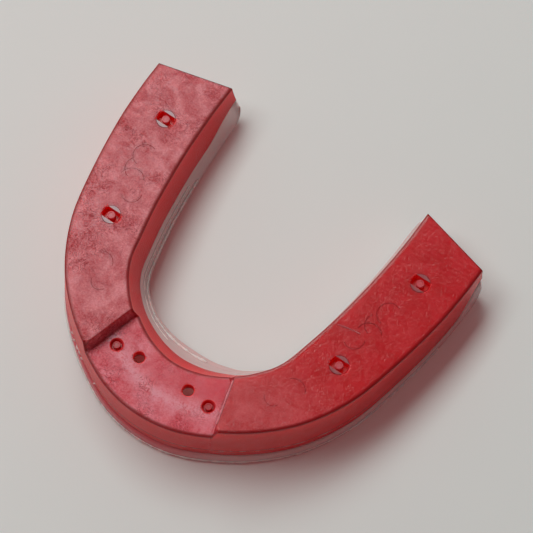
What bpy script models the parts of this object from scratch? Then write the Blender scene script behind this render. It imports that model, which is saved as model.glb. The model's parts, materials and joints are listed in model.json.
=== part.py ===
"""Two-layer boil-and-bite mouthguard, standing on the rim of its walls.

A firm red outer shell carries the bite plate, and a clear soft fitting liner fills its channel.
Lengths are in millimetres until make_object turns them into metres.

The guard is drawn in the frame of its bite plate: the top of the raised pads is at height 0, -Y is the
front of the mouth, +Y the open ends. place_on_rim then tips it onto the flat rim of the labial wall.
"""
import math

import bmesh
import bpy
import numpy as np
from mathutils import Matrix, Vector

MM = 0.001

# Arch: matched points on the outer (labial) and inner (lingual) edge of the bite plate, right half.
ARCH_STATIONS = (
    ((0.0, -24.0), (0.0, -15.2)),
    ((6.2, -23.1), (4.8, -14.2)),
    ((12.3, -20.3), (9.4, -11.5)),
    ((17.9, -16.4), (12.8, -8.0)),
    ((22.8, -11.2), (14.7, -4.7)),
    ((26.6, -4.2), (15.8, -0.3)),
    ((28.8, 4.0), (17.0, 5.5)),
    ((30.4, 13.0), (18.1, 13.5)),
    ((31.0, 20.0), (18.7, 21.5)),
    ((31.1, 25.0), (18.8, 28.1)),
)
PLAIN_STATIONS = 24          # cross sections along each half, before those of the rounded end
END_STATIONS = 5             # cross sections through the rounded lower corner of each end
FRONT_EDGE_Y = ARCH_STATIONS[0][0][1]
REAR_OUTER_X, REAR_OUTER_Y = ARCH_STATIONS[-1][0]
REAR_INNER_X, REAR_INNER_Y = ARCH_STATIONS[-1][1]
ARCH_DEPTH = REAR_OUTER_Y - FRONT_EDGE_Y
END_SLANT = (REAR_INNER_Y - REAR_OUTER_Y) / (REAR_OUTER_X - REAR_INNER_X)

# Heights, as depths below the top of the pads.
PLATE_THICKNESS = 3.6        # bite plate at the raised pads
LINER_FLOOR = 1.2            # soft layer under the bite plate
RIM_DEPTH_FRONT = 13.3       # labial rim at the front of the arch
RIM_DEPTH_REAR = 9.3         # labial rim at the rear ends
LINGUAL_RIM_DEPTH = 9.4      # tongue-side rim, where the resting plane is lower than that
RIM_CLEARANCE = 0.3          # least height of the tongue-side rim over the resting plane
RIM_BLEND = 0.35             # softness of the turn from one rim law to the other
END_RADIUS = 2.8             # rounded lower corner of each rear end

# Walls.
GAP = 0.3                    # shell to liner
SHELL_WALL = 1.5
LINER_WALL = 1.3
TONGUE_RIM_EXTRA = 0.5       # extra thickness of the tongue-side rim
SHOULDER_INSET = 0.1         # how far the shoulder stands in from the wall below it
RIM_ROUND = 0.5
TOP_ROUND = 0.35
CHAMFER_SHARE = 0.3          # middle point of a three-point round, as a share of its radius
CHANNEL_FILLET = 0.6
LABIAL_DRAFT = 0.075         # outward lean of the labial face per millimetre of depth
LINGUAL_FLARE_ARM = 2.15     # lean of the tongue-side face at its rim, along the arms
LINGUAL_FLARE_FRONT = 4.0    # extra lean at the front, where the liner forms a palatal flange
FLARE_REACH = 15.0           # distance from the front over which the extra lean dies away
FLARE_POWER = 1.35
LEDGE_SHARE = 0.76           # parting ledge, as a share of the shell's labial depth
LEDGE_STEP = 0.3
LEDGE_FALL = 0.15            # height of the ledge's slope
SHELL_EDGE_LIP = 0.25        # what is left of the shell's walls at the very end
SHELL_RISE_LENGTH = 8.0      # length over which the shell's lower edge rises to the rear end
SHELL_LABIAL_SHOW_FRONT = 3.1  # height of clear rim below the shell, front
SHELL_LABIAL_SHOW_REAR = 1.5   # the same at the rear
SHELL_LINGUAL_DEPTH = 5.8

# Recessed front of the bite plate.
RECESS_DEPTH = 2.3
RECESS_STEP_OUTER = (12.15, -20.1)
RECESS_STEP_INNER = (9.8, -11.65)
RECESS_STEP_SLOPE = 0.6
BREATHING_HOLES = (4.65, -16.6)
BREATHING_HOLE_DIAMETER = 1.7
LINER_HOLE_DIAMETER = 2.7
FRONT_DIMPLES = (8.7, -16.9)
DIMPLE_DIAMETER = 1.9
DIMPLE_DEPTH = 0.75
FRONT_STUD_DIAMETER = 1.2

# Locking pockets of the raised pads.
POCKETS = {"front": (21.65, -0.6), "rear": (24.35, 17.65)}
POCKET_SLOT = (3.1, 1.8, 1.3)      # across the arch, along it, depth
POCKET_STUD_DIAMETER = 1.2
STUD_FLUSH = 0.1                   # top of a stud below the pad

ROUND_SEGMENTS = 24
SIDES = {"left": -1.0, "right": 1.0}


def clear_scene():
    """Remove every object that is in the file."""
    for item in list(bpy.data.objects):
        bpy.data.objects.remove(item)


def make_material(name, colour, roughness, metallic=0.0):
    """Return a Principled material with a plain colour."""
    material = bpy.data.materials.new(name)
    material.use_nodes = True
    shader = material.node_tree.nodes["Principled BSDF"]
    shader.inputs["Base Color"].default_value = (*colour, 1.0)
    shader.inputs["Roughness"].default_value = roughness
    shader.inputs["Metallic"].default_value = metallic
    material.diffuse_color = (*colour, 1.0)
    return material


# ---------------------------------------------------------------- the arch

def smooth_curve(points, samples_per_span=24):
    """Return a dense Catmull-Rom curve through the points of one half of the arch."""
    points = [np.array(point) for point in points]
    mirrored = points[1] * np.array((-1.0, 1.0))
    beyond = 2.0 * points[-1] - points[-2]
    knots = [mirrored] + points + [beyond]
    curve = []
    for before, start, end, after in zip(knots, knots[1:], knots[2:], knots[3:]):
        for step in range(samples_per_span):
            u = step / samples_per_span
            curve.append(0.5 * (2.0 * start + (end - before) * u
                                + (2.0 * before - 5.0 * start + 4.0 * end - after) * u ** 2
                                + (3.0 * start - before - 3.0 * end + after) * u ** 3))
    curve.append(points[-1])
    return np.array(curve)


def running_length(curve):
    """Return the distance along a curve at each of its points."""
    return np.concatenate(([0.0], np.cumsum(np.linalg.norm(np.diff(curve, axis=0), axis=1))))


class Station:
    """One cross section of the arch: an edge point and outward direction for each wall."""

    def __init__(self, outer, outer_normal, inner, inner_normal, from_front, from_end):
        """Keep the two edge points, their normals and the distances to the front and the end."""
        self.outer = outer
        self.outer_normal = outer_normal
        self.inner = inner
        self.inner_normal = inner_normal
        self.from_front = from_front
        self.from_end = from_end

    def mirrored(self):
        """Return the same section on the left half."""
        flip = np.array((-1.0, 1.0))
        return Station(self.outer * flip, self.outer_normal * flip, self.inner * flip,
                       self.inner_normal * flip, self.from_front, self.from_end)

    def on_end_plane(self, flat):
        """Slide a point of the last section along the arm onto the slanted end plane."""
        if self.from_end > 0.0:
            return flat
        return np.array((flat[0], REAR_OUTER_Y + (REAR_OUTER_X - abs(flat[0])) * END_SLANT))

    def labial(self, offset, depth):
        """Return a point offset outwards from the outer edge of the plate, at a depth."""
        flat = self.on_end_plane(self.outer + self.outer_normal * offset)
        return Vector((flat[0], flat[1], -depth))

    def lingual(self, offset, depth):
        """Return a point offset towards the tongue from the inner edge, at a depth."""
        flat = self.on_end_plane(self.inner + self.inner_normal * offset)
        return Vector((flat[0], flat[1], -depth))

    def end_rise(self):
        """Return how far the rounded end corner lifts the rims at this section."""
        if self.from_end >= END_RADIUS:
            return 0.0
        along = END_RADIUS - self.from_end
        return END_RADIUS - math.sqrt(END_RADIUS ** 2 - along ** 2)

    def labial_rim(self, offset):
        """Return the depth of the resting plane under a labial point, lifted at the rear end."""
        return rim_plane_depth(self.labial(offset, 0.0).y) - self.end_rise()

    def lingual_rim(self, offset):
        """Return the depth of the tongue-side rim under a lingual point."""
        plane = rim_plane_depth(self.lingual(offset, 0.0).y) - RIM_CLEARANCE
        low = -RIM_BLEND * math.log(math.exp(-plane / RIM_BLEND)
                                    + math.exp(-LINGUAL_RIM_DEPTH / RIM_BLEND))
        return low - self.end_rise()

    def flare(self, depth):
        """Return the lean of the tongue-side face at a depth."""
        fade = math.exp(-(self.from_front / FLARE_REACH) ** 2)
        total = LINGUAL_FLARE_ARM + LINGUAL_FLARE_FRONT * fade
        return total * (depth / LINGUAL_RIM_DEPTH) ** FLARE_POWER

    def shell_edges(self):
        """Return the depths of the shell's labial and lingual lower edges."""
        share = (self.outer[1] - FRONT_EDGE_Y) / ARCH_DEPTH
        show = SHELL_LABIAL_SHOW_FRONT + (SHELL_LABIAL_SHOW_REAR - SHELL_LABIAL_SHOW_FRONT) * share
        labial = rim_plane_depth(self.outer[1]) - show
        rise = max(0.0, 1.0 - self.from_end / SHELL_RISE_LENGTH)
        rise = rise * rise * (3.0 - 2.0 * rise)
        least = PLATE_THICKNESS + SHELL_EDGE_LIP
        return (labial + (least - labial) * rise,
                SHELL_LINGUAL_DEPTH + (least - SHELL_LINGUAL_DEPTH) * rise)


def rim_plane_depth(y):
    """Return the depth of the resting plane below the pads at a place along the guard."""
    share = (y - FRONT_EDGE_Y) / ARCH_DEPTH
    return RIM_DEPTH_FRONT + (RIM_DEPTH_REAR - RIM_DEPTH_FRONT) * share


def arch_stations():
    """Return the sections from the left end round the front to the right end."""
    outer = smooth_curve([pair[0] for pair in ARCH_STATIONS])
    inner = smooth_curve([pair[1] for pair in ARCH_STATIONS])
    middle = running_length((outer + inner) / 2.0)
    total = middle[-1]
    distances = list(np.linspace(0.0, total - END_RADIUS, PLAIN_STATIONS))
    for step in range(1, END_STATIONS + 1):
        angle = 0.5 * math.pi * step / END_STATIONS
        distances.append(total - END_RADIUS * (1.0 - math.sin(angle)))
    outer_slope = np.gradient(outer, axis=0)
    inner_slope = np.gradient(inner, axis=0)
    outer_slope[0] = inner_slope[0] = (1.0, 0.0)
    right = []
    for distance in distances:
        place = np.array([[np.interp(distance, middle, data[:, axis]) for axis in (0, 1)]
                          for data in (outer, inner, outer_slope, inner_slope)])
        tangents = place[2:] / np.linalg.norm(place[2:], axis=1)[:, None]
        right.append(Station(place[0], np.array((tangents[0][1], -tangents[0][0])),
                             place[1], np.array((-tangents[1][1], tangents[1][0])),
                             distance, max(0.0, total - distance)))
    return [station.mirrored() for station in reversed(right[1:])] + right


# ---------------------------------------------------------------- cross sections

def shell_section(station):
    """Return the shell's profile: down the labial wall, under the plate, round the lingual wall."""
    labial_edge, lingual_edge = station.shell_edges()
    ledge = LEDGE_SHARE * labial_edge
    lean = LABIAL_DRAFT
    corner = TOP_ROUND * CHAMFER_SHARE
    middle = 0.5 * (TOP_ROUND + lingual_edge)
    return [
        station.labial(-TOP_ROUND, 0.0),
        station.labial(-corner, corner),
        station.labial(lean * TOP_ROUND, TOP_ROUND),
        station.labial(lean * ledge, ledge),
        station.labial(lean * ledge - LEDGE_STEP, ledge + LEDGE_FALL),
        station.labial(lean * labial_edge - LEDGE_STEP, labial_edge),
        station.labial(lean * labial_edge - SHELL_WALL, labial_edge),
        station.labial(lean * PLATE_THICKNESS - SHELL_WALL, PLATE_THICKNESS),
        station.lingual(station.flare(PLATE_THICKNESS) - SHELL_WALL, PLATE_THICKNESS),
        station.lingual(station.flare(lingual_edge) - SHELL_WALL, lingual_edge),
        station.lingual(station.flare(lingual_edge), lingual_edge),
        station.lingual(station.flare(middle), middle),
        station.lingual(station.flare(TOP_ROUND), TOP_ROUND),
        station.lingual(-corner, corner),
        station.lingual(-TOP_ROUND, 0.0),
    ]


def liner_section(station):
    """Return the liner's profile, from its labial shoulder down to the rim and over the channel."""
    labial_edge, lingual_edge = (edge + GAP for edge in station.shell_edges())
    top = PLATE_THICKNESS + GAP
    floor = top + LINER_FLOOR
    lean = LABIAL_DRAFT
    wall = SHELL_WALL + GAP + LINER_WALL
    inset = SHELL_WALL + GAP
    soft = RIM_ROUND * CHAMFER_SHARE
    fillet = CHANNEL_FILLET * CHAMFER_SHARE

    def labial_point(offset, lift):
        """Return a point of the labial rim, lifted from the resting plane."""
        depth = station.labial_rim(offset)
        return station.labial(offset, depth - lift)

    def lingual_point(offset, lift):
        """Return a point of the tongue-side rim, lifted from its lowest line."""
        depth = station.lingual_rim(offset)
        return station.lingual(offset, depth - lift)

    outside = lean * station.labial_rim(0.0)
    inside = outside - wall
    tongue = station.flare(station.lingual_rim(0.0))
    tongue_rim = LINER_WALL + TONGUE_RIM_EXTRA
    return [
        station.labial(lean * top - inset, top),
        station.labial(lean * labial_edge - inset, labial_edge),
        station.labial(lean * labial_edge - SHOULDER_INSET, labial_edge),
        labial_point(outside, RIM_ROUND),
        labial_point(outside - soft, soft),
        labial_point(outside - RIM_ROUND, 0.0),
        labial_point(inside + RIM_ROUND, 0.0),
        labial_point(inside + soft, soft),
        labial_point(inside, RIM_ROUND),
        station.labial(lean * floor - wall, floor + CHANNEL_FILLET),
        station.labial(lean * floor - wall - fillet, floor + fillet),
        station.labial(lean * floor - wall - CHANNEL_FILLET, floor),
        station.lingual(station.flare(floor) - wall - CHANNEL_FILLET, floor),
        station.lingual(station.flare(floor) - wall - fillet, floor + fillet),
        station.lingual(station.flare(floor + CHANNEL_FILLET) - wall, floor + CHANNEL_FILLET),
        lingual_point(tongue - tongue_rim - SHOULDER_INSET, RIM_ROUND),
        lingual_point(tongue - tongue_rim + RIM_ROUND, 0.0),
        lingual_point(tongue - RIM_ROUND, 0.0),
        lingual_point(tongue, RIM_ROUND),
        station.lingual(station.flare(lingual_edge), lingual_edge),
        station.lingual(station.flare(lingual_edge) - inset, lingual_edge),
        station.lingual(station.flare(top) - inset, top),
    ]


# ---------------------------------------------------------------- solids

def make_object(name, mesh_builder, material):
    """Turn a bmesh in millimetres into a named object in metres."""
    bmesh.ops.recalc_face_normals(mesh_builder, faces=mesh_builder.faces)
    bmesh.ops.scale(mesh_builder, vec=(MM, MM, MM), verts=mesh_builder.verts)
    mesh = bpy.data.meshes.new(name)
    mesh_builder.to_mesh(mesh)
    mesh_builder.free()
    mesh.materials.append(material)
    item = bpy.data.objects.new(name, mesh)
    bpy.context.scene.collection.objects.link(item)
    return item


def loft(name, sections, material):
    """Skin closed sections into one solid with flat ends."""
    builder = bmesh.new()
    rings = [[builder.verts.new(point) for point in section] for section in sections]
    for ring, following in zip(rings, rings[1:]):
        for index in range(len(ring)):
            after = (index + 1) % len(ring)
            builder.faces.new((ring[index], ring[after], following[after], following[index]))
    builder.faces.new(rings[0])
    builder.faces.new(rings[-1])
    return make_object(name, builder, material)


def cylinder(name, centre, diameter, top, bottom, material):
    """Return an upright cylinder between two heights."""
    builder = bmesh.new()
    bmesh.ops.create_cone(builder, cap_ends=True, segments=ROUND_SEGMENTS, radius1=diameter / 2.0,
                          radius2=diameter / 2.0, depth=top - bottom)
    bmesh.ops.translate(builder, vec=(centre[0], centre[1], (top + bottom) / 2.0),
                        verts=builder.verts)
    return make_object(name, builder, material)


def block(name, centre, size, top, material):
    """Return a box of the given length, width and height, hung from its top."""
    builder = bmesh.new()
    bmesh.ops.create_cube(builder, size=1.0)
    bmesh.ops.scale(builder, vec=size, verts=builder.verts)
    bmesh.ops.translate(builder, vec=(centre[0], centre[1], top - size[2] / 2.0),
                        verts=builder.verts)
    return make_object(name, builder, material)


def recess_cutter(material):
    """Return the wedge that sinks the front of the bite plate between two sloping steps."""
    outer = np.array(RECESS_STEP_OUTER)
    inner = np.array(RECESS_STEP_INNER)
    along = (outer - inner) / np.linalg.norm(outer - inner)
    reach = 6.0
    line = (outer + along * reach, inner - along * reach)
    slope = RECESS_STEP_SLOPE / RECESS_DEPTH
    builder = bmesh.new()
    rings = []
    for height in (1.0, -RECESS_DEPTH):
        shift = np.array((slope * height, 0.0))
        right = [point + shift for point in line]
        left = [point * np.array((-1.0, 1.0)) for point in reversed(right)]
        rings.append([builder.verts.new((*point, height)) for point in right + left])
    top, bottom = rings
    builder.faces.new(top)
    builder.faces.new(reversed(bottom))
    for index in range(4):
        after = (index + 1) % 4
        builder.faces.new((top[after], top[index], bottom[index], bottom[after]))
    return make_object("recess_cutter", builder, material)


def cut(item, cutter):
    """Take a cutter away from an object and hide the cutter."""
    cutter.hide_render = True
    cutter.display_type = "WIRE"
    modifier = item.modifiers.new("cut_" + cutter.name, "BOOLEAN")
    modifier.operation = "DIFFERENCE"
    modifier.object = cutter


def outer_shell(stations, material):
    """Build the red shell with its recess, breathing holes, dimples and pockets."""
    shell = loft("outer_shell", [shell_section(station) for station in stations], material)
    cutters = [recess_cutter(material)]
    for side, sign in SIDES.items():
        hole = (sign * BREATHING_HOLES[0], BREATHING_HOLES[1])
        dimple = (sign * FRONT_DIMPLES[0], FRONT_DIMPLES[1])
        cutters.append(cylinder("shell_hole_" + side, hole, BREATHING_HOLE_DIAMETER,
                                1.0, -PLATE_THICKNESS - 1.0, material))
        cutters.append(cylinder("shell_dimple_" + side, dimple, DIMPLE_DIAMETER,
                                1.0, -RECESS_DEPTH - DIMPLE_DEPTH, material))
        for row, (x, y) in POCKETS.items():
            length, width, depth = POCKET_SLOT
            cutters.append(block(f"shell_pocket_{row}_{side}", (sign * x, y),
                                 (length, width, depth + 1.0), 1.0, material))
    for cutter in cutters:
        cut(shell, cutter)
    return [shell] + cutters


def fitting_liner(stations, material):
    """Build the clear liner with its two breathing holes."""
    liner = loft("fitting_liner", [liner_section(station) for station in stations], material)
    cutters = []
    for side, sign in SIDES.items():
        hole = (sign * BREATHING_HOLES[0], BREATHING_HOLES[1])
        cutters.append(cylinder("liner_hole_" + side, hole, LINER_HOLE_DIAMETER,
                                -PLATE_THICKNESS, -PLATE_THICKNESS - 2.0 * LINER_FLOOR, material))
    for cutter in cutters:
        cut(liner, cutter)
    return [liner] + cutters


def locking_studs(material):
    """Build the round studs that stand in the pockets and in the front dimples."""
    studs = []
    for side, sign in SIDES.items():
        for row, (x, y) in POCKETS.items():
            studs.append(cylinder(f"pocket_stud_{row}_{side}", (sign * x, y), POCKET_STUD_DIAMETER,
                                  -STUD_FLUSH, GAP - POCKET_SLOT[2], material))
        place = (sign * FRONT_DIMPLES[0], FRONT_DIMPLES[1])
        studs.append(cylinder("front_stud_" + side, place, FRONT_STUD_DIAMETER,
                              -RECESS_DEPTH - STUD_FLUSH, GAP - RECESS_DEPTH - DIMPLE_DEPTH,
                              material))
    return studs


def place_on_rim(items):
    """Tip the guard onto its labial rim, centred over the origin."""
    tilt = math.atan2(RIM_DEPTH_FRONT - RIM_DEPTH_REAR, ARCH_DEPTH)
    turn = Matrix.Rotation(-tilt, 4, "X")
    for item in items:
        item.data.transform(turn)
    solids = [item for item in items if not item.hide_render]
    corners = np.array([vertex.co for item in solids for vertex in item.data.vertices])
    low = corners.min(axis=0)
    high = corners.max(axis=0)
    shift = Matrix.Translation((-(low[0] + high[0]) / 2.0, -(low[1] + high[1]) / 2.0, -low[2]))
    for item in items:
        item.data.transform(shift)


def main():
    """Build the whole mouthguard."""
    clear_scene()
    red = make_material("red_shell", (0.36, 0.025, 0.035), 0.45)
    clear = make_material("clear_liner", (0.62, 0.55, 0.53), 0.35)
    pink = make_material("pink_stud", (0.50, 0.12, 0.14), 0.4)
    stations = arch_stations()
    items = outer_shell(stations, red) + fitting_liner(stations, clear) + locking_studs(pink)
    place_on_rim(items)


main()
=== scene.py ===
"""Looks of a two-layer boil-and-bite mouthguard: moulded shell, clear liner, studs, studio.

Lengths are millimetres in the frame of the bite plate (top of the raised pads at height 0, -Y the front
teeth, +Y the open rear ends) until PlateFrame turns them into the frame's metres.
"""
import json
import logging
import math
from dataclasses import dataclass, field
from enum import Enum

import bmesh
import bpy
import numpy as np
from mathutils import Matrix, Vector


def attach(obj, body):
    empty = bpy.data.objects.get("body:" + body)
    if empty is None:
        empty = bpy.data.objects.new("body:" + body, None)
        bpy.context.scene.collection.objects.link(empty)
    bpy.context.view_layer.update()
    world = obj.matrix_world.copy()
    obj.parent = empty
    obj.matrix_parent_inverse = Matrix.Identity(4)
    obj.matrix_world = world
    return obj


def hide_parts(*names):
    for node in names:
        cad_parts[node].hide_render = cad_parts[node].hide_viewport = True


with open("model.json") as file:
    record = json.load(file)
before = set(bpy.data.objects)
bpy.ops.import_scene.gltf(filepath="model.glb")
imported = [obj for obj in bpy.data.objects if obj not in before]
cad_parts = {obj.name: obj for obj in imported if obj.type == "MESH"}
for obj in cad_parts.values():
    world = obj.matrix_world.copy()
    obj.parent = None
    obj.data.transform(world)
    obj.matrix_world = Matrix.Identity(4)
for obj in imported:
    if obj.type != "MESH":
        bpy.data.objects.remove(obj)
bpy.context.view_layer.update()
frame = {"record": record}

MM = 0.001
BODY = "root"
LOG = logging.getLogger("mouthguard")
SIDES = {"left": -1.0, "right": 1.0}
END_LENGTH = 3.0
FAR_FROM_EDGE = 9.0


class Zone(Enum):
    """Named point attributes of the shell that its finish reads."""

    # Painted shade along edges, ledges and the steps.
    EDGE = "painted_edge_shade"
    RECESS = "recess_zone"
    # Painted glow: the walls' brighter red, and the pink of the liner's lip side.
    WALL = "painted_wall_glow"
    # Rougher satin skin and whitish painted sheen.
    SATIN_AND_SHEEN = "satin_and_painted_sheen"
    # Painted highlight streak along the recess and on the right step's crest.
    HIGHLIGHT_STREAK = "painted_highlight_streak"


# ---------------------------------------------------------------- frame and arch

@dataclass(frozen=True)
class PlateFrame:
    """The frame of the bite plate, found from the record's pad mount."""

    pad_mount: str = "right_bite_pad"
    pad_place: tuple[float, float] = (24.5, 8.0)

    def mount(self) -> dict:
        """Return the record's entry for the pad mount."""
        return next(entry for entry in frame["record"]["mounts"] if entry["name"] == self.pad_mount)

    def turn(self) -> np.ndarray:
        """Return the rotation from the plate's frame to the CAD frame."""
        _, sine, cosine = self.mount()["axis"]
        length = math.hypot(sine, cosine)
        return np.array(((1.0, 0.0, 0.0),
                         (0.0, cosine / length, sine / length),
                         (0.0, -sine / length, cosine / length)))

    def origin(self) -> np.ndarray:
        """Return the plate's origin in the CAD frame, in millimetres."""
        place = np.array((*self.pad_place, 0.0))
        return np.array(self.mount()["pos_m"]) / MM - self.turn() @ place

    def to_world(self, points: np.ndarray) -> np.ndarray:
        """Turn plate millimetres into CAD metres.

        Args:
            points: array of points whose last axis is X, Y, Z.

        Returns:
            The same array in metres in the CAD frame.
        """
        return (np.asarray(points) @ self.turn().T + self.origin()) * MM

    def matrix(self) -> Matrix:
        """Return the change from plate millimetres to CAD metres as a matrix."""
        turn = Matrix(self.turn().tolist()).to_4x4()
        return Matrix.Translation(Vector(self.origin()) * MM) @ turn @ Matrix.Scale(MM, 4)

    def place(self, item: bpy.types.Object) -> bpy.types.Object:
        """Turn an object's mesh from plate millimetres to CAD metres."""
        item.data.transform(self.matrix())
        return item


@dataclass(frozen=True)
class Arch:
    """Plan of the guard: matched points on the outer and inner edge of the bite plate, right half."""

    pairs: tuple = (
        ((0.0, -24.0), (0.0, -15.2)),
        ((6.2, -23.1), (4.8, -14.2)),
        ((12.3, -20.3), (9.4, -11.5)),
        ((17.9, -16.4), (12.8, -8.0)),
        ((22.8, -11.2), (14.7, -4.7)),
        ((26.6, -4.2), (15.8, -0.3)),
        ((28.8, 4.0), (17.0, 5.5)),
        ((30.4, 13.0), (18.1, 13.5)),
        ((31.0, 20.0), (18.7, 21.5)),
        ((31.1, 25.0), (18.8, 28.1)),
    )
    samples: int = 40
    step_pair: int = 2

    @property
    def end_slant(self) -> float:
        """Return how much further back the rear end reaches for each millimetre towards the tongue."""
        (outer_x, outer_y), (inner_x, inner_y) = self.pairs[-1]
        return (inner_y - outer_y) / (outer_x - inner_x)

    def curve(self, side: int) -> np.ndarray:
        """Return a dense Catmull-Rom curve through one edge's points.

        Args:
            side: 0 for the outer edge, 1 for the inner edge.

        Returns:
            Array of plan points from the front to the rear end.
        """
        points = [np.array(pair[side]) for pair in self.pairs]
        knots = [points[1] * np.array((-1.0, 1.0))] + points + [2.0 * points[-1] - points[-2]]
        curve = []
        for before, start, end, after in zip(knots, knots[1:], knots[2:], knots[3:]):
            for step in range(self.samples):
                u = step / self.samples
                curve.append(0.5 * (2.0 * start + (end - before) * u
                                    + (2.0 * before - 5.0 * start + 4.0 * end - after) * u ** 2
                                    + (3.0 * start - before - 3.0 * end + after) * u ** 3))
        curve.append(points[-1])
        return np.array(curve)

    def length(self) -> float:
        """Return the running length of the middle line from the front to one end."""
        return float(self.running()[-1])

    def running(self) -> np.ndarray:
        """Return the distance along the middle line at each sample."""
        middle = (self.curve(0) + self.curve(1)) / 2.0
        return np.concatenate(([0.0], np.cumsum(np.linalg.norm(np.diff(middle, axis=0), axis=1))))

    def sections(self, distances: np.ndarray) -> "Sections":
        """Return the cross sections at signed distances from the front, left negative."""
        reach = np.abs(distances)
        running = self.running()
        sign = np.where(distances < 0.0, -1.0, 1.0)
        data = []
        for side, turn in ((0, 1.0), (1, -1.0)):
            curve = self.curve(side)
            slope = np.gradient(curve, axis=0)
            slope[0] = (1.0, 0.0)
            place = np.stack([np.interp(reach, running, curve[:, axis]) for axis in (0, 1)], axis=1)
            tangent = np.stack([np.interp(reach, running, slope[:, axis]) for axis in (0, 1)], axis=1)
            tangent /= np.linalg.norm(tangent, axis=1)[:, None]
            normal = np.stack((tangent[:, 1], -tangent[:, 0]), axis=1) * turn
            place[:, 0] *= sign
            normal[:, 0] *= sign
            data += [place, normal]
        return Sections(*data, reach, running[-1] - reach, self.end_slant, self.pairs[-1][0],
                        self.pairs[0][0][1])


@dataclass
class Sections:
    """Cross sections of the arch, with the walls' leans and heights."""

    outer: np.ndarray
    outer_normal: np.ndarray
    inner: np.ndarray
    inner_normal: np.ndarray
    from_front: np.ndarray
    from_end: np.ndarray
    end_slant: float
    rear_outer: tuple[float, float]
    front_edge: float
    slide_length: float = 4.0
    rim_front: float = 13.3
    rim_rear: float = 9.3
    lingual_rim_depth: float = 9.4
    rim_clearance: float = 0.3
    rim_blend: float = 0.35
    end_radius: float = 2.8
    labial_draft: float = 0.075
    flare_arm: float = 2.15
    flare_front: float = 4.0
    flare_reach: float = 15.0
    flare_power: float = 1.35
    plate: float = 3.6
    edge_lip: float = 0.25
    rise_length: float = 8.0
    show_front: float = 3.1
    show_rear: float = 1.5
    shell_lingual: float = 5.8

    def slide(self, flat: np.ndarray) -> np.ndarray:
        """Slide the points of the last sections along the arm, parallel to the slanted end."""
        rear_x, rear_y = self.rear_outer
        plane = rear_y + (rear_x - np.abs(flat[:, 0])) * self.end_slant - self.from_end
        weight = np.clip(1.0 - self.from_end / self.slide_length, 0.0, 1.0)
        moved = flat.copy()
        moved[:, 1] += (plane - flat[:, 1]) * weight
        return moved

    def labial(self, offset, depth) -> np.ndarray:
        """Return points offset outwards from the outer edge of the plate, at a depth."""
        flat = self.slide(self.outer + self.outer_normal * np.reshape(offset, (-1, 1)))
        return np.column_stack((flat, -np.broadcast_to(depth, len(flat))))

    def lingual(self, offset, depth) -> np.ndarray:
        """Return points offset towards the tongue from the inner edge, at a depth."""
        flat = self.slide(self.inner + self.inner_normal * np.reshape(offset, (-1, 1)))
        return np.column_stack((flat, -np.broadcast_to(depth, len(flat))))

    def from_front_share(self, y: np.ndarray) -> np.ndarray:
        """Return the place along the guard, 0 at the front teeth and 1 at the rear ends."""
        return (y - self.front_edge) / (self.rear_outer[1] - self.front_edge)

    def rim_plane(self, y: np.ndarray) -> np.ndarray:
        """Return the depth of the resting plane below the pads along the guard."""
        return self.rim_front + (self.rim_rear - self.rim_front) * self.from_front_share(y)

    def end_rise(self) -> np.ndarray:
        """Return how far the rounded end corner lifts the rims."""
        along = np.clip(self.end_radius - self.from_end, 0.0, self.end_radius * 0.985)
        return self.end_radius - np.sqrt(self.end_radius ** 2 - along ** 2)

    def labial_rim(self, offset) -> np.ndarray:
        """Return the depth of the resting plane under labial points, lifted at the rear end."""
        return self.rim_plane(self.labial(offset, 0.0)[:, 1]) - self.end_rise()

    def lingual_rim(self, offset) -> np.ndarray:
        """Return the depth of the tongue-side rim under lingual points."""
        plane = self.rim_plane(self.lingual(offset, 0.0)[:, 1]) - self.rim_clearance
        blend = self.rim_blend
        low = -blend * np.log(np.exp(-plane / blend) + math.exp(-self.lingual_rim_depth / blend))
        return low - self.end_rise()

    def flare(self, depth) -> np.ndarray:
        """Return the lean of the tongue-side face at a depth."""
        fade = np.exp(-(self.from_front / self.flare_reach) ** 2)
        total = self.flare_arm + self.flare_front * fade
        return total * (np.maximum(depth, 0.0) / self.lingual_rim_depth) ** self.flare_power

    def shell_edges(self) -> tuple[np.ndarray, np.ndarray]:
        """Return the depths of the shell's labial and lingual lower edges."""
        share = self.from_front_share(self.outer[:, 1])
        show = self.show_front + (self.show_rear - self.show_front) * share
        labial = self.rim_plane(self.outer[:, 1]) - show
        rise = smooth_step(-self.from_end, -self.rise_length, 0.0)
        least = self.plate + self.edge_lip
        return (labial + (least - labial) * rise,
                self.shell_lingual + (least - self.shell_lingual) * rise)


def smooth_step(value: np.ndarray, start: float, end: float) -> np.ndarray:
    """Return 0 before start, 1 after end and a smooth rise between them."""
    share = np.clip((value - start) / (end - start), 0.0, 1.0)
    return share * share * (3.0 - 2.0 * share)


def rounded_end(total: float, radius: float = 2.8, count: int = 15) -> np.ndarray:
    """Return distances that crowd together towards the rounded rear end.

    Args:
        total: distance of the end from the front.
        radius: radius of the rounded corner.
        count: number of distances.

    Returns:
        The distances in rising order.
    """
    return total - radius * (1.0 - np.sin(np.linspace(0.0, 0.5 * math.pi, count)))


def both_sides(right: np.ndarray) -> np.ndarray:
    """Return signed distances of the left and the right half from those of the right half."""
    right = np.unique(np.round(right, 4))
    return np.concatenate((-right[:0:-1], right))


# ---------------------------------------------------------------- mesh helpers

def skin_sections(rings: np.ndarray) -> list[tuple[int, ...]]:
    """Return the quads between closed rings, with an n-gon at each end."""
    count, size = rings.shape[:2]
    faces = []
    for row in range(count - 1):
        for index in range(size):
            after = (index + 1) % size
            faces.append((row * size + index, row * size + after,
                          (row + 1) * size + after, (row + 1) * size + index))
    faces.append(tuple(reversed(range(size))))
    faces.append(tuple(range((count - 1) * size, count * size)))
    return faces


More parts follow.
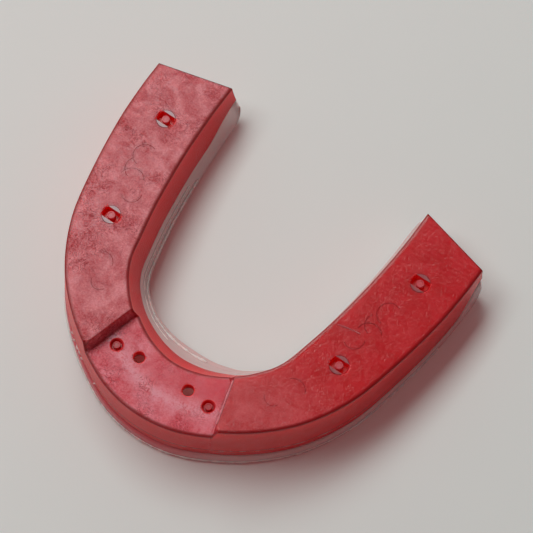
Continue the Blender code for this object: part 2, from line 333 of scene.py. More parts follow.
def round_ends(rings: np.ndarray, radius: float, steps: int = 3) -> np.ndarray:
    """Add shrinking rings at both ends so that the end faces meet the walls in a small round.

    Args:
        rings: sections, profile points and coordinates, in millimetres.
        radius: radius of the round.
        steps: rings added at each end.

    Returns:
        The rings with the rounded ends added.
    """
    def rounded(ring: np.ndarray, neighbour: np.ndarray) -> list[np.ndarray]:
        """Return the rings of one rounded end, from the wall to the end face."""
        around = np.roll(ring, -1, axis=0) - np.roll(ring, 1, axis=0)
        around /= np.linalg.norm(around, axis=1)[:, None] + 1e-12
        outward = (ring - neighbour).mean(axis=0)
        outward /= np.linalg.norm(outward)
        inward = np.cross(np.broadcast_to(outward, around.shape), around)
        area = 0.5 * np.sum(np.cross(ring - ring.mean(axis=0),
                                     np.roll(ring, -1, axis=0) - ring.mean(axis=0)) @ outward)
        inward *= math.copysign(1.0, area)
        result = []
        for step in range(1, steps + 1):
            angle = 0.5 * math.pi * step / steps
            shift = outward * radius * (math.sin(angle) - 1.0)
            result.append(ring + shift + inward * radius * (1.0 - math.cos(angle)))
        return result

    first = rounded(rings[0], rings[1])
    last = rounded(rings[-1], rings[-2])
    first_base = rings[0] + (rings[1] - rings[0]) / np.linalg.norm(
        (rings[1] - rings[0]).mean(axis=0)) * radius
    last_base = rings[-1] + (rings[-2] - rings[-1]) / np.linalg.norm(
        (rings[-2] - rings[-1]).mean(axis=0)) * radius
    middle = [ring for ring in rings[1:-1]]
    return np.array(list(reversed(first)) + [first_base] + middle + [last_base] + last)


def mesh_piece(name: str, points: np.ndarray, faces: list,
               attributes: dict[Zone, np.ndarray] | None = None) -> bpy.types.Object:
    """Make an object in plate millimetres.

    Args:
        name: name of the object.
        points: vertices in plate millimetres.
        faces: vertex indices of each face.
        attributes: values for each vertex, by zone.

    Returns:
        The linked object.
    """
    mesh = bpy.data.meshes.new(name)
    mesh.from_pydata(np.asarray(points).tolist(), [], faces)
    for zone, values in (attributes or {}).items():
        layer = mesh.attributes.new(zone.value, "FLOAT", "POINT")
        layer.data.foreach_set("value", np.asarray(values, dtype=np.float32).ravel())
    builder = bmesh.new()
    builder.from_mesh(mesh)
    bmesh.ops.recalc_face_normals(builder, faces=builder.faces)
    if builder.calc_volume(signed=True) < 0.0:
        bmesh.ops.reverse_faces(builder, faces=builder.faces)
    builder.to_mesh(mesh)
    builder.free()
    item = bpy.data.objects.new(name, mesh)
    bpy.context.scene.collection.objects.link(item)
    return item


def settle(item: bpy.types.Object, angle: float = 32.0) -> bpy.types.Object:
    """Turn an object's modifiers into plain mesh and shade it smooth but for its sharp edges."""
    depsgraph = bpy.context.evaluated_depsgraph_get()
    mesh = bpy.data.meshes.new_from_object(
        item.evaluated_get(depsgraph), preserve_all_data_layers=True, depsgraph=depsgraph)
    item.modifiers.clear()
    item.data = mesh
    mesh.shade_smooth()
    mesh.set_sharp_from_angle(angle=math.radians(angle))
    return item


def cut_away(item: bpy.types.Object, cutters: list[bpy.types.Object]) -> None:
    """Take cutters away from an object, keep the cutters' material on the cut and remove them."""
    for cutter in cutters:
        modifier = item.modifiers.new(cutter.name, "BOOLEAN")
        modifier.operation = "DIFFERENCE"
        modifier.material_mode = "TRANSFER"
        modifier.object = cutter
    settle(item)
    close_gaps(item)
    for cutter in cutters:
        bpy.data.objects.remove(cutter)


def close_gaps(item: bpy.types.Object, least: float = 0.002) -> None:
    """Merge the slivers that cutting leaves and fill the gaps between them."""
    builder = bmesh.new()
    builder.from_mesh(item.data)
    bmesh.ops.remove_doubles(builder, verts=builder.verts, dist=least)
    bmesh.ops.dissolve_degenerate(builder, edges=builder.edges, dist=least)
    bmesh.ops.holes_fill(builder, edges=[edge for edge in builder.edges if edge.is_boundary])
    builder.to_mesh(item.data)
    builder.free()


def turned(name: str, profile: list[tuple[float, float]], centre: tuple[float, float],
           segments: int = 48) -> bpy.types.Object:
    """Return a solid of revolution about an upright axis.

    Args:
        name: name of the object.
        profile: radius and height pairs from the bottom of the axis to its top.
        centre: place of the axis.
        segments: steps round the axis.

    Returns:
        The linked object.
    """
    points = [(centre[0], centre[1], profile[0][1])]
    for radius, height in profile[1:-1]:
        for step in range(segments):
            angle = 2.0 * math.pi * step / segments
            points.append((centre[0] + radius * math.cos(angle),
                           centre[1] + radius * math.sin(angle), height))
    points.append((centre[0], centre[1], profile[-1][1]))
    faces = []
    for step in range(segments):
        after = (step + 1) % segments
        faces.append((0, 1 + after, 1 + step))
        for row in range(len(profile) - 3):
            low = 1 + row * segments
            faces.append((low + step, low + after, low + segments + after, low + segments + step))
        top = 1 + (len(profile) - 3) * segments
        faces.append((top + step, top + after, len(points) - 1))
    return mesh_piece(name, np.array(points), faces)


# ---------------------------------------------------------------- outer shell

@dataclass
class OuterShell:
    """The firm red shell: bite plate with raised pads and recess, labial and lingual walls."""

    arch: Arch
    plate: PlateFrame
    wall: float = 1.5
    edge_round: float = 0.28
    end_round: float = 0.16
    ledge_share: float = 0.76
    ledge_step: float = 0.3
    plate_thickness: float = 3.6
    recess_depth: float = 2.3
    step_outer: tuple[float, float] = (12.15, -20.1)
    step_inner: tuple[float, float] = (9.8, -11.65)
    step_slope: float = 0.6
    pad_corner: float = 1.1
    breathing_holes: tuple[float, float] = (4.65, -16.6)
    breathing_diameter: float = 1.75
    dimples: tuple[float, float] = (8.7, -16.9)
    dimple_diameter: float = 1.9
    dimple_depth: float = 0.75
    pockets: dict = field(default_factory=lambda: {"front": (21.65, -0.6), "rear": (24.35, 17.65)})
    pocket_diameter: float = 3.1
    pocket_width: float = 1.7
    pocket_depth: float = 1.3
    columns_across: int = 30
    spacing: float = 0.4
    fine_spacing: float = 0.07
    fine_reach: tuple[float, float] = (1.6, 1.7)
    corner_angles: tuple[float, ...] = (0.0, 30.0, 60.0, 90.0)
    ledge_fall: float = 0.2
    top_edge_reach: float = 0.2
    step_soft: float = 0.16
    lower_round: float = 0.12
    # Painted shade lines at the steps, along their top edge and their foot: place past the top edge, width,
    # strength on the left and on the right.
    step_edge_shade: tuple[float, ...] = (-0.04, 0.11, 0.5, 0.9)
    step_foot_shade: tuple[float, ...] = (0.62, 0.14, 0.30, 0.1)
    # Place past the step's top edge and width of the painted highlight on the right step's crest.
    crest_highlight: tuple[float, float] = (0.30, 0.16)
    # Place across the arm, turn and width of the painted highlight streak in the recess.
    highlight_ripple_share: float = 0.44
    highlight_ripple_turn: float = 0.006
    highlight_ripple_width: float = 0.10

    def distances(self) -> np.ndarray:
        """Return the signed distances of the sections, dense at the steps and the rounded ends."""
        step_place = self.arch.running()[self.arch.step_pair * self.arch.samples]
        near = np.arange(step_place - self.fine_reach[0], step_place + self.fine_reach[1],
                         self.fine_spacing)
        coarse = np.arange(0.0, self.arch.length() - END_LENGTH, self.spacing)
        coarse = coarse[(coarse < near[0]) | (coarse > near[-1])]
        return both_sides(np.concatenate((coarse, near, rounded_end(self.arch.length()))))

    def into_recess(self, x: np.ndarray, y: np.ndarray, from_edge: np.ndarray) -> np.ndarray:
        """Return the distance past the step's top edge, with the pad's outer corner rounded."""
        outer, inner = np.array(self.step_outer), np.array(self.step_inner)
        along = (outer - inner) / np.linalg.norm(outer - inner)
        normal = np.array((along[1], -along[0]))
        if normal[0] > 0.0:
            normal = -normal
        past = (np.abs(x) - outer[0]) * normal[0] + (y - outer[1]) * normal[1]
        radius = self.pad_corner
        reach_edge = np.clip(radius - from_edge, 0.0, None)
        reach_step = np.clip(past + radius, 0.0, None)
        rounded = np.hypot(reach_edge, reach_step) - radius
        return np.where((reach_edge > 0.0) & (reach_step > 0.0), np.maximum(past, rounded), past)

    def top_depth(self, x: np.ndarray, y: np.ndarray, from_edge: np.ndarray) -> np.ndarray:
        """Return the depth of the plate's top: 0 on the pads, the recess between the steps."""
        past = self.into_recess(x, y, from_edge)
        ramp = self.recess_depth / self.step_slope
        line = past * ramp
        low = self.step_soft * ramp * 0.5
        rising = np.where(line < -low, 0.0, np.where(line > low, line, (line + low) ** 2 / (4.0 * low)))
        over = self.recess_depth - rising
        return self.recess_depth - np.where(
            over < -low, 0.0, np.where(over > low, over, (over + low) ** 2 / (4.0 * low)))

    @staticmethod
    def satin(x: np.ndarray, y: np.ndarray, share: np.ndarray, recess: np.ndarray) -> np.ndarray:
        """Return how strongly the etched skin hazes: all over the left pad and the recess's left part.

        Args:
            x: place across the guard.
            y: place along the guard.
            share: place across the arm, 0 at the lip and 1 at the tongue.
            recess: 1 in the recess.

        Returns:
            The satin finish and painted sheen from 0 to 1.
        """
        # Painted sheen: full on the left pad, weak on the right pad's front and gone towards its rear; in the
        # recess it fades towards the tongue and the right.
        pads = np.where(x < 0.0, 1.0, 0.30 * (1.0 - smooth_step(y, -16.0, -2.0)))
        inner = smooth_step(share, 0.5, 0.7) * smooth_step(x, -6.0, 0.0)
        floor = 1.0 - 0.55 * inner - 0.25 * smooth_step(x, 3.0, 9.0)
        return pads + (floor - pads) * recess

    def rings(self, cuts: Sections) -> tuple[np.ndarray, dict[Zone, np.ndarray]]:
        """Return the shell's sections and the zone values of their points."""
        lean = cuts.labial_draft
        labial_edge, lingual_edge = cuts.shell_edges()
        ledge = self.ledge_share * labial_edge
        radius = self.edge_round
        columns: list[np.ndarray] = []
        walls: list[float] = []
        edges: list[float] = []
        across: list[float] = []

        def add(points: np.ndarray, wall: float, edge: float, share: float = 0.0) -> None:
            """Append one column of points with its zone values."""
            columns.append(points)
            walls.append(wall)
            edges.append(edge)
            across.append(share)

        outer_top = cuts.labial(-radius, 0.0)
        outer_depth = self.top_depth(outer_top[:, 0], outer_top[:, 1],
                                     np.full(len(outer_top), self.top_edge_reach))
        inner_top = cuts.lingual(-radius, 0.0)
        inner_depth = self.top_depth(inner_top[:, 0], inner_top[:, 1],
                                     np.full(len(inner_top), FAR_FROM_EDGE))

        soft = self.lower_round
        # The last two numbers of each column are its painted wall glow and its painted edge shade, which
        # darkens the lower round, the ledge and the top corners.
        add(cuts.labial(lean * labial_edge - self.ledge_step - soft, labial_edge), 1.0, 0.6)
        add(cuts.labial(lean * labial_edge - self.ledge_step, labial_edge - soft), 1.0, 0.6)
        for share in np.linspace(0.15, 0.9, 5):
            depth = labial_edge + (ledge + self.ledge_fall - labial_edge) * share
            add(cuts.labial(lean * depth - self.ledge_step, depth), 1.0, 0.0)
        for inset, below, edge in ((self.ledge_step, self.ledge_fall, 1.0), (0.1, soft, 1.0),
                                   (0.0, 0.0, 1.0), (0.02, -soft, 0.4)):
            add(cuts.labial(lean * ledge - inset, ledge + below), 1.0, edge)
        for share in np.linspace(0.04, 0.96, 16):
            top = outer_depth + radius
            depth = ledge - soft + (top - ledge + soft) * share
            add(cuts.labial(lean * depth, depth), 1.0, float(share > 0.9) * 0.3)
        for angle in np.radians(self.corner_angles):
            top = lean * (outer_depth + radius)
            blend = 1.0 - math.sin(angle)
            add(cuts.labial(top - radius + radius * math.cos(angle),
                            outer_depth + radius * blend), 1.0 - math.sin(angle) * 0.8, 1.0)
        start = cuts.labial(lean * (outer_depth + radius) - radius, 0.0)
        end = cuts.lingual(cuts.flare(inner_depth + radius) - radius, 0.0)
        span = np.linalg.norm(end - start, axis=1)
        for share in np.linspace(0.0, 1.0, self.columns_across + 2)[1:-1]:
            flat = start + (end - start) * share
            depth = self.top_depth(flat[:, 0], flat[:, 1], span * share)
            flat[:, 2] = -depth
            # Painted edge shade along both top edges of the plate.
            rim = max(0.0, 1.0 - min(share, 1.0 - share) * 28.0)
            add(flat, 0.0, rim, float(share))
        for angle in np.radians(self.corner_angles[::-1]):
            top = cuts.flare(inner_depth + radius)
            blend = 1.0 - math.sin(angle)
            add(cuts.lingual(top - radius + radius * math.cos(angle),
                             inner_depth + radius * blend), 1.0 - math.sin(angle) * 0.8, 1.0)
        for share in np.linspace(0.06, 0.97, 14):
            depth = inner_depth + radius + (lingual_edge - soft - inner_depth - radius) * share
            add(cuts.lingual(cuts.flare(depth), depth), 1.0, 0.0)
        add(cuts.lingual(cuts.flare(lingual_edge) - 0.02, lingual_edge - soft * 0.4), 1.0, 0.2)
        add(cuts.lingual(cuts.flare(lingual_edge) - soft, lingual_edge), 1.0, 0.2)
        for share in np.linspace(0.0, 1.0, 5):
            depth = lingual_edge + (self.plate_thickness - lingual_edge) * share
            add(cuts.lingual(cuts.flare(depth) - self.wall, depth), 1.0, 0.0)
        under_start = cuts.lingual(cuts.flare(self.plate_thickness) - self.wall, self.plate_thickness)
        under_end = cuts.labial(lean * self.plate_thickness - self.wall, self.plate_thickness)
        for share in (0.25, 0.5, 0.75):
            add(under_start + (under_end - under_start) * share, 1.0, 0.0)
        for share in np.linspace(0.0, 1.0, 7):
            depth = self.plate_thickness + (labial_edge - self.plate_thickness) * share
            add(cuts.labial(lean * depth - self.wall, depth), 1.0, 0.0)

        rings = np.stack(columns, axis=1)
        count = len(rings)
        zones = {
            Zone.WALL: np.tile(walls, (count, 1)),
            Zone.EDGE: np.tile(edges, (count, 1)),
        }
        past = self.into_recess(rings[:, :, 0], rings[:, :, 1],
                                np.full(rings.shape[:2], FAR_FROM_EDGE))
        zones[Zone.RECESS] = smooth_step(past, 0.2, self.step_slope + 0.3)
        right = rings[:, :, 0] > 0.0
        # Painted shade lines along the steps' top edge and foot, on the plate's top only.
        step_shade_line = np.maximum(*(
            np.exp(-((past - place) / width) ** 2) * np.where(right, on_right, on_left)
            for place, width, on_left, on_right in (self.step_edge_shade, self.step_foot_shade)))
        zones[Zone.EDGE] = np.maximum(zones[Zone.EDGE], step_shade_line * (1.0 - zones[Zone.WALL]))
        shares = np.tile(across, (count, 1))
        # Satin finish and painted sheen of the top.
        zones[Zone.SATIN_AND_SHEEN] = self.satin(rings[:, :, 0], rings[:, :, 1], shares, zones[Zone.RECESS])
        # Painted highlight streak along the middle of the recess, and on the right step's crest.
        middle = self.highlight_ripple_share - self.highlight_ripple_turn * rings[:, :, 0]
        zones[Zone.HIGHLIGHT_STREAK] = (np.exp(-((shares - middle) / self.highlight_ripple_width) ** 2)
                              * zones[Zone.RECESS])
        crest_highlight = np.exp(-((past - self.crest_highlight[0]) / self.crest_highlight[1]) ** 2) * right
        zones[Zone.HIGHLIGHT_STREAK] = np.maximum(zones[Zone.HIGHLIGHT_STREAK], crest_highlight)
        zones[Zone.RECESS] = np.maximum(zones[Zone.RECESS], crest_highlight)
        return rings, zones

    def slot_cutter(self, name: str, place: tuple[float, float]) -> bpy.types.Object:
        """Return the cutter of one pocket: a round hole narrowed to a slot by two flat sides."""
        radius = self.pocket_diameter / 2.0
        half = self.pocket_width / 2.0
        limit = math.asin(half / radius)
        angles = list(np.linspace(-limit, limit, 9)) + list(np.linspace(math.pi - limit,
                                                                        math.pi + limit, 9))
        outline = np.array([(math.cos(angle), math.sin(angle)) for angle in angles]) * radius
        levels = ((1.0, 0.10), (0.0, 0.10), (-0.14, 0.0), (-self.pocket_depth, -0.06))
        points = []
        for height, grow in levels:
            scale = 1.0 + grow / radius
            for flat in outline * scale:
                points.append((place[0] + flat[0], place[1] + flat[1], height))
        rings = np.array(points).reshape(len(levels), len(outline), 3)
        return mesh_piece(name, rings.reshape(-1, 3), skin_sections(rings))

    def build(self, finish: bpy.types.Material, pocket: bpy.types.Material) -> bpy.types.Object:
        """Build the shell, cut its holes, dimples and pockets, and dress it."""
        cuts = self.arch.sections(self.distances())
        rings, zones = self.rings(cuts)
        rings = round_ends(rings, self.end_round)
        extra = (len(rings) - len(cuts.outer)) // 2
        zones = {zone: np.concatenate((np.repeat(values[:1], extra, axis=0), values,
                                       np.repeat(values[-1:], extra, axis=0)))
                 for zone, values in zones.items()}
        shell = mesh_piece("moulded_outer_shell", rings.reshape(-1, 3), skin_sections(rings), zones)
        shell.data.materials.append(finish)
        shell.data.materials.append(pocket)
        cutters = []
        floor = -self.recess_depth
        for side, sign in SIDES.items():
            hole = (sign * self.breathing_holes[0], self.breathing_holes[1])
            radius = self.breathing_diameter / 2.0
            cutters.append(turned("breathing_" + side, [
                (0.0, -self.plate_thickness - 1.0), (radius, -self.plate_thickness - 1.0),
                (radius, floor - 0.12), (radius + 0.12, floor), (radius + 0.12, floor + 1.0),
                (0.0, floor + 1.0)], hole))
            dimple = (sign * self.dimples[0], self.dimples[1])
            radius = self.dimple_diameter / 2.0
            cutters.append(turned("dimple_" + side, [
                (0.0, floor - self.dimple_depth), (radius - 0.2, floor - self.dimple_depth),
                (radius, floor - self.dimple_depth + 0.2), (radius, floor - 0.12),
                (radius + 0.15, floor), (radius + 0.15, floor + 0.8), (0.0, floor + 0.8)],
                dimple))
            for row, (x, y) in self.pockets.items():
                cutters.append(self.slot_cutter(f"pocket_{row}_{side}", (sign * x, y)))
        for cutter in cutters:
            cutter.data.materials.append(pocket)
        cut_away(shell, cutters)
        return self.plate.place(shell)


# ---------------------------------------------------------------- fitting liner

@dataclass
class FittingLiner:
    """The soft clear liner: channel for the teeth and the rim below the shell."""

    arch: Arch
    plate: PlateFrame
    shell_wall: float = 1.5
    contact: float = 0.04
    liner_wall: float = 1.6
    floor_thickness: float = 1.5
    rim_round: float = 0.55
    channel_fillet: float = 0.9
    hole_place: tuple[float, float] = (4.65, -16.6)
    hole_diameter: float = 2.6
    lip_columns: int = 24
    spacing: float = 0.5
    end_round: float = 0.3
    tongue_rim_extra: float = 0.4
    shoulder_inset: float = 0.30
    round_angles: tuple[float, ...] = (0.0, 22.5, 45.0, 67.5, 90.0)
    fillet_angles: tuple[float, ...] = (0.0, 30.0, 60.0, 90.0)
    rim_clear: float = 0.7

    def distances(self) -> np.ndarray:
        """Return the signed distances of the sections."""
        total = self.arch.length()
        return both_sides(np.concatenate((np.arange(0.0, total - END_LENGTH, self.spacing),
                                          rounded_end(total))))

    def rings(self, cuts: Sections) -> np.ndarray:
        """Return the liner's sections."""
        lean = cuts.labial_draft
        labial_edge, lingual_edge = (edge + self.contact for edge in cuts.shell_edges())
        top = cuts.plate + self.contact
        floor = top + self.floor_thickness
        inset = self.shell_wall + self.contact
        wall = inset + self.liner_wall
        radius = self.rim_round
        columns = []

        outside = lean * cuts.labial_rim(0.0)
        inside = outside - wall
        tongue = cuts.flare(cuts.lingual_rim(0.0))
        tongue_rim = self.liner_wall + self.tongue_rim_extra

        def labial_rim_point(offset, lift: float) -> np.ndarray:
            """Return labial rim points lifted from the resting plane."""
            return cuts.labial(offset, cuts.labial_rim(offset) - lift)

        def lingual_rim_point(offset, lift: float) -> np.ndarray:
            """Return tongue-side rim points lifted from their lowest line."""
            return cuts.lingual(offset, cuts.lingual_rim(offset) - lift)

        def between(first: np.ndarray, last: np.ndarray, shares: np.ndarray) -> None:
            """Append columns between two columns."""
            for share in shares:
                columns.append(first + (last - first) * share)

        columns.append(cuts.labial(lean * top - inset, top))
        middle = (top + labial_edge) / 2.0
        columns.append(cuts.labial(lean * middle - inset, middle))
        columns.append(cuts.labial(lean * labial_edge - inset, labial_edge))
        columns.append(cuts.labial(lean * labial_edge - self.shoulder_inset, labial_edge))
        columns.append(cuts.labial(lean * (labial_edge + 0.2) - 0.12, labial_edge + 0.2))
        side_top = cuts.labial(lean * (labial_edge + 0.45) - 0.02, labial_edge + 0.45)
        side_low = labial_rim_point(outside, radius)
        between(side_top, side_low, np.linspace(0.0, 1.0, 5))
        for angle in np.radians(self.round_angles[1:]):
            columns.append(labial_rim_point(outside - radius + radius * math.cos(angle),
                                            radius * (1.0 - math.sin(angle))))
        for share in (0.33, 0.67):
            columns.append(labial_rim_point(outside - radius - (wall - 2.0 * radius) * share, 0.0))
        for angle in np.radians(self.round_angles[::-1]):
            columns.append(labial_rim_point(inside + radius - radius * math.cos(angle),
                                            radius * (1.0 - math.sin(angle))))
        fillet = self.channel_fillet
        wall_low = columns[-1]
        wall_top = cuts.labial(lean * floor - wall, np.minimum(
            floor + fillet, cuts.labial_rim(0.0) - self.rim_clear))
        between(wall_low, wall_top, np.linspace(0.15, 0.85, 6))
        for angle in np.radians(self.fillet_angles):
            lift = (-wall_top[:, 2] - floor) * (1.0 - math.sin(angle))
            columns.append(cuts.labial(lean * floor - wall - fillet * (1.0 - math.cos(angle)),
                                       floor + lift))
        floor_start = columns[-1]
        lingual_top = cuts.flare(floor + fillet) - wall
        floor_end = cuts.lingual(lingual_top - fillet, floor)
        between(floor_start, floor_end, np.linspace(0.0, 1.0, 10)[1:-1])
        side_depth = np.minimum(floor + fillet, cuts.lingual_rim(0.0) - self.rim_clear)
        for angle in np.radians(self.fillet_angles[::-1]):
            lift = (side_depth - floor) * (1.0 - math.sin(angle))
            columns.append(cuts.lingual(lingual_top - fillet * (1.0 - math.cos(angle)), floor + lift))
        inner_low = lingual_rim_point(tongue - tongue_rim, radius)
        between(columns[-1], inner_low, np.linspace(0.15, 0.9, 5))
        for angle in np.radians(self.round_angles):
            columns.append(lingual_rim_point(tongue - tongue_rim + radius - radius * math.cos(angle),
                                             radius * (1.0 - math.sin(angle))))
        for angle in np.radians(self.round_angles[::-1]):
            columns.append(lingual_rim_point(tongue - radius + radius * math.cos(angle),
                                             radius * (1.0 - math.sin(angle))))
        rim_depth = cuts.lingual_rim(0.0) - radius
        for share in np.linspace(0.1, 0.94, 8):
            depth = rim_depth + (lingual_edge - rim_depth) * share
            columns.append(cuts.lingual(cuts.flare(depth), depth))
        columns.append(cuts.lingual(cuts.flare(lingual_edge) - 0.08, lingual_edge))
        columns.append(cuts.lingual(cuts.flare(lingual_edge) - inset, lingual_edge))
        columns.append(cuts.lingual(cuts.flare(top) - inset, top))
        roof_start, roof_end = columns[-1], columns[0]
        between(roof_start, roof_end, np.array((0.33, 0.67)))
        return np.stack(columns, axis=1)

    def build(self, finish: bpy.types.Material) -> bpy.types.Object:
        """Build the liner with its two breathing holes and dress it."""
        rings = round_ends(self.rings(self.arch.sections(self.distances())),
                           self.end_round, steps=4)
        # Painted red glow from the shell on the liner's lip side: full on the left and the front, fading to a
        # quarter towards the right.
        lip_side_red_glow = np.zeros(rings.shape[:2])
        lip_side_red_glow[:, :self.lip_columns] = 1.0 - 0.75 * smooth_step(
            rings[:, :self.lip_columns, 0], 2.0, 16.0)
        liner = mesh_piece("clear_fitting_liner", rings.reshape(-1, 3), skin_sections(rings),
                           {Zone.WALL: lip_side_red_glow})
        liner.data.materials.append(finish)
        cutters = []
        top = -OuterShell.plate_thickness
        radius = self.hole_diameter / 2.0
        for side, sign in SIDES.items():
            hole = (sign * self.hole_place[0], self.hole_place[1])
            cutters.append(turned("liner_hole_" + side, [
                (0.0, top - 3.0), (radius, top - 3.0), (radius, top + 1.0), (0.0, top + 1.0)], hole))
        for cutter in cutters:
            cutter.data.materials.append(finish)
        cut_away(liner, cutters)
        return self.plate.place(liner)


# ---------------------------------------------------------------- colours and nodes

def linear(code: str) -> tuple[float, float, float, float]:
    """Turn an sRGB hex value into a linear colour with full alpha."""
    values = [int(code[place:place + 2], 16) / 255.0 for place in (1, 3, 5)]
    turned_values = [value / 12.92 if value <= 0.04045 else ((value + 0.055) / 1.055) ** 2.4
                     for value in values]
    return (*turned_values, 1.0)


def per_mm(size: float) -> float:
    """Return the texture scale whose features are about this many millimetres wide."""
    return 1.0 / (size * MM)


def add_node(tree: bpy.types.NodeTree, kind: str, inputs: dict | None = None,
             **settings) -> bpy.types.Node:
    """Add one node, set its properties, and set or link its inputs.

    Args:
        tree: node tree to add to.
        kind: Blender's identifier of the node.
        inputs: values or output sockets, by input name or index.
        **settings: properties of the node.

    Returns:
        The node.
    """
    node = tree.nodes.new(kind)
    for name, value in settings.items():
        setattr(node, name, value)
    for key, value in (inputs or {}).items():
        socket = node.inputs[key]
        if isinstance(value, bpy.types.NodeSocket):
            tree.links.new(value, socket)
        else:
            socket.default_value = value
    return node


def new_material(name: str) -> tuple[bpy.types.Material, bpy.types.NodeTree, bpy.types.Node]:
    """Return an empty node material with its Principled shader linked to the output."""
    material = bpy.data.materials.new(name)
    material.use_nodes = True
    tree = material.node_tree
    tree.nodes.clear()
    shader = add_node(tree, "ShaderNodeBsdfPrincipled")
    add_node(tree, "ShaderNodeOutputMaterial", {"Surface": shader.outputs["BSDF"]})
    return material, tree, shader


def set_uniform(shader: bpy.types.Node, values: dict[str, object]) -> None:
    """Set values that are the same all over the surface on the shader's own sockets."""
    for name, value in values.items():
        shader.inputs[name].default_value = value


def follow_recipe(tree: bpy.types.NodeTree, made: dict[str, object], recipe: tuple) -> None:
    """Add a chain of value and colour steps and keep each result under its label.

    Args:
        tree: node tree to add to.
        made: sockets and colours made so far, by label; the results are added to it.
        recipe: label, kind ("ramp", "mix" or the name of a sum) and the labels or numbers it works on. A
            ramp takes a value, its two ends and what it gives there, a mix a share and two colours.
    """
    for label, kind, parts in recipe:
        values = [made[part] if isinstance(part, str) else part for part in parts]
        if kind == "ramp":
            names = ("Value", "From Min", "From Max", "To Min", "To Max")
            made[label] = add_node(tree, "ShaderNodeMapRange", dict(zip(names, values))).outputs[0]
        elif kind == "mix":
            made[label] = add_node(tree, "ShaderNodeMix", dict(zip((0, 6, 7), values)),
                                   data_type="RGBA").outputs[2]
        else:
            made[label] = add_node(tree, "ShaderNodeMath", dict(enumerate(values)),
                                   operation=kind).outputs[0]


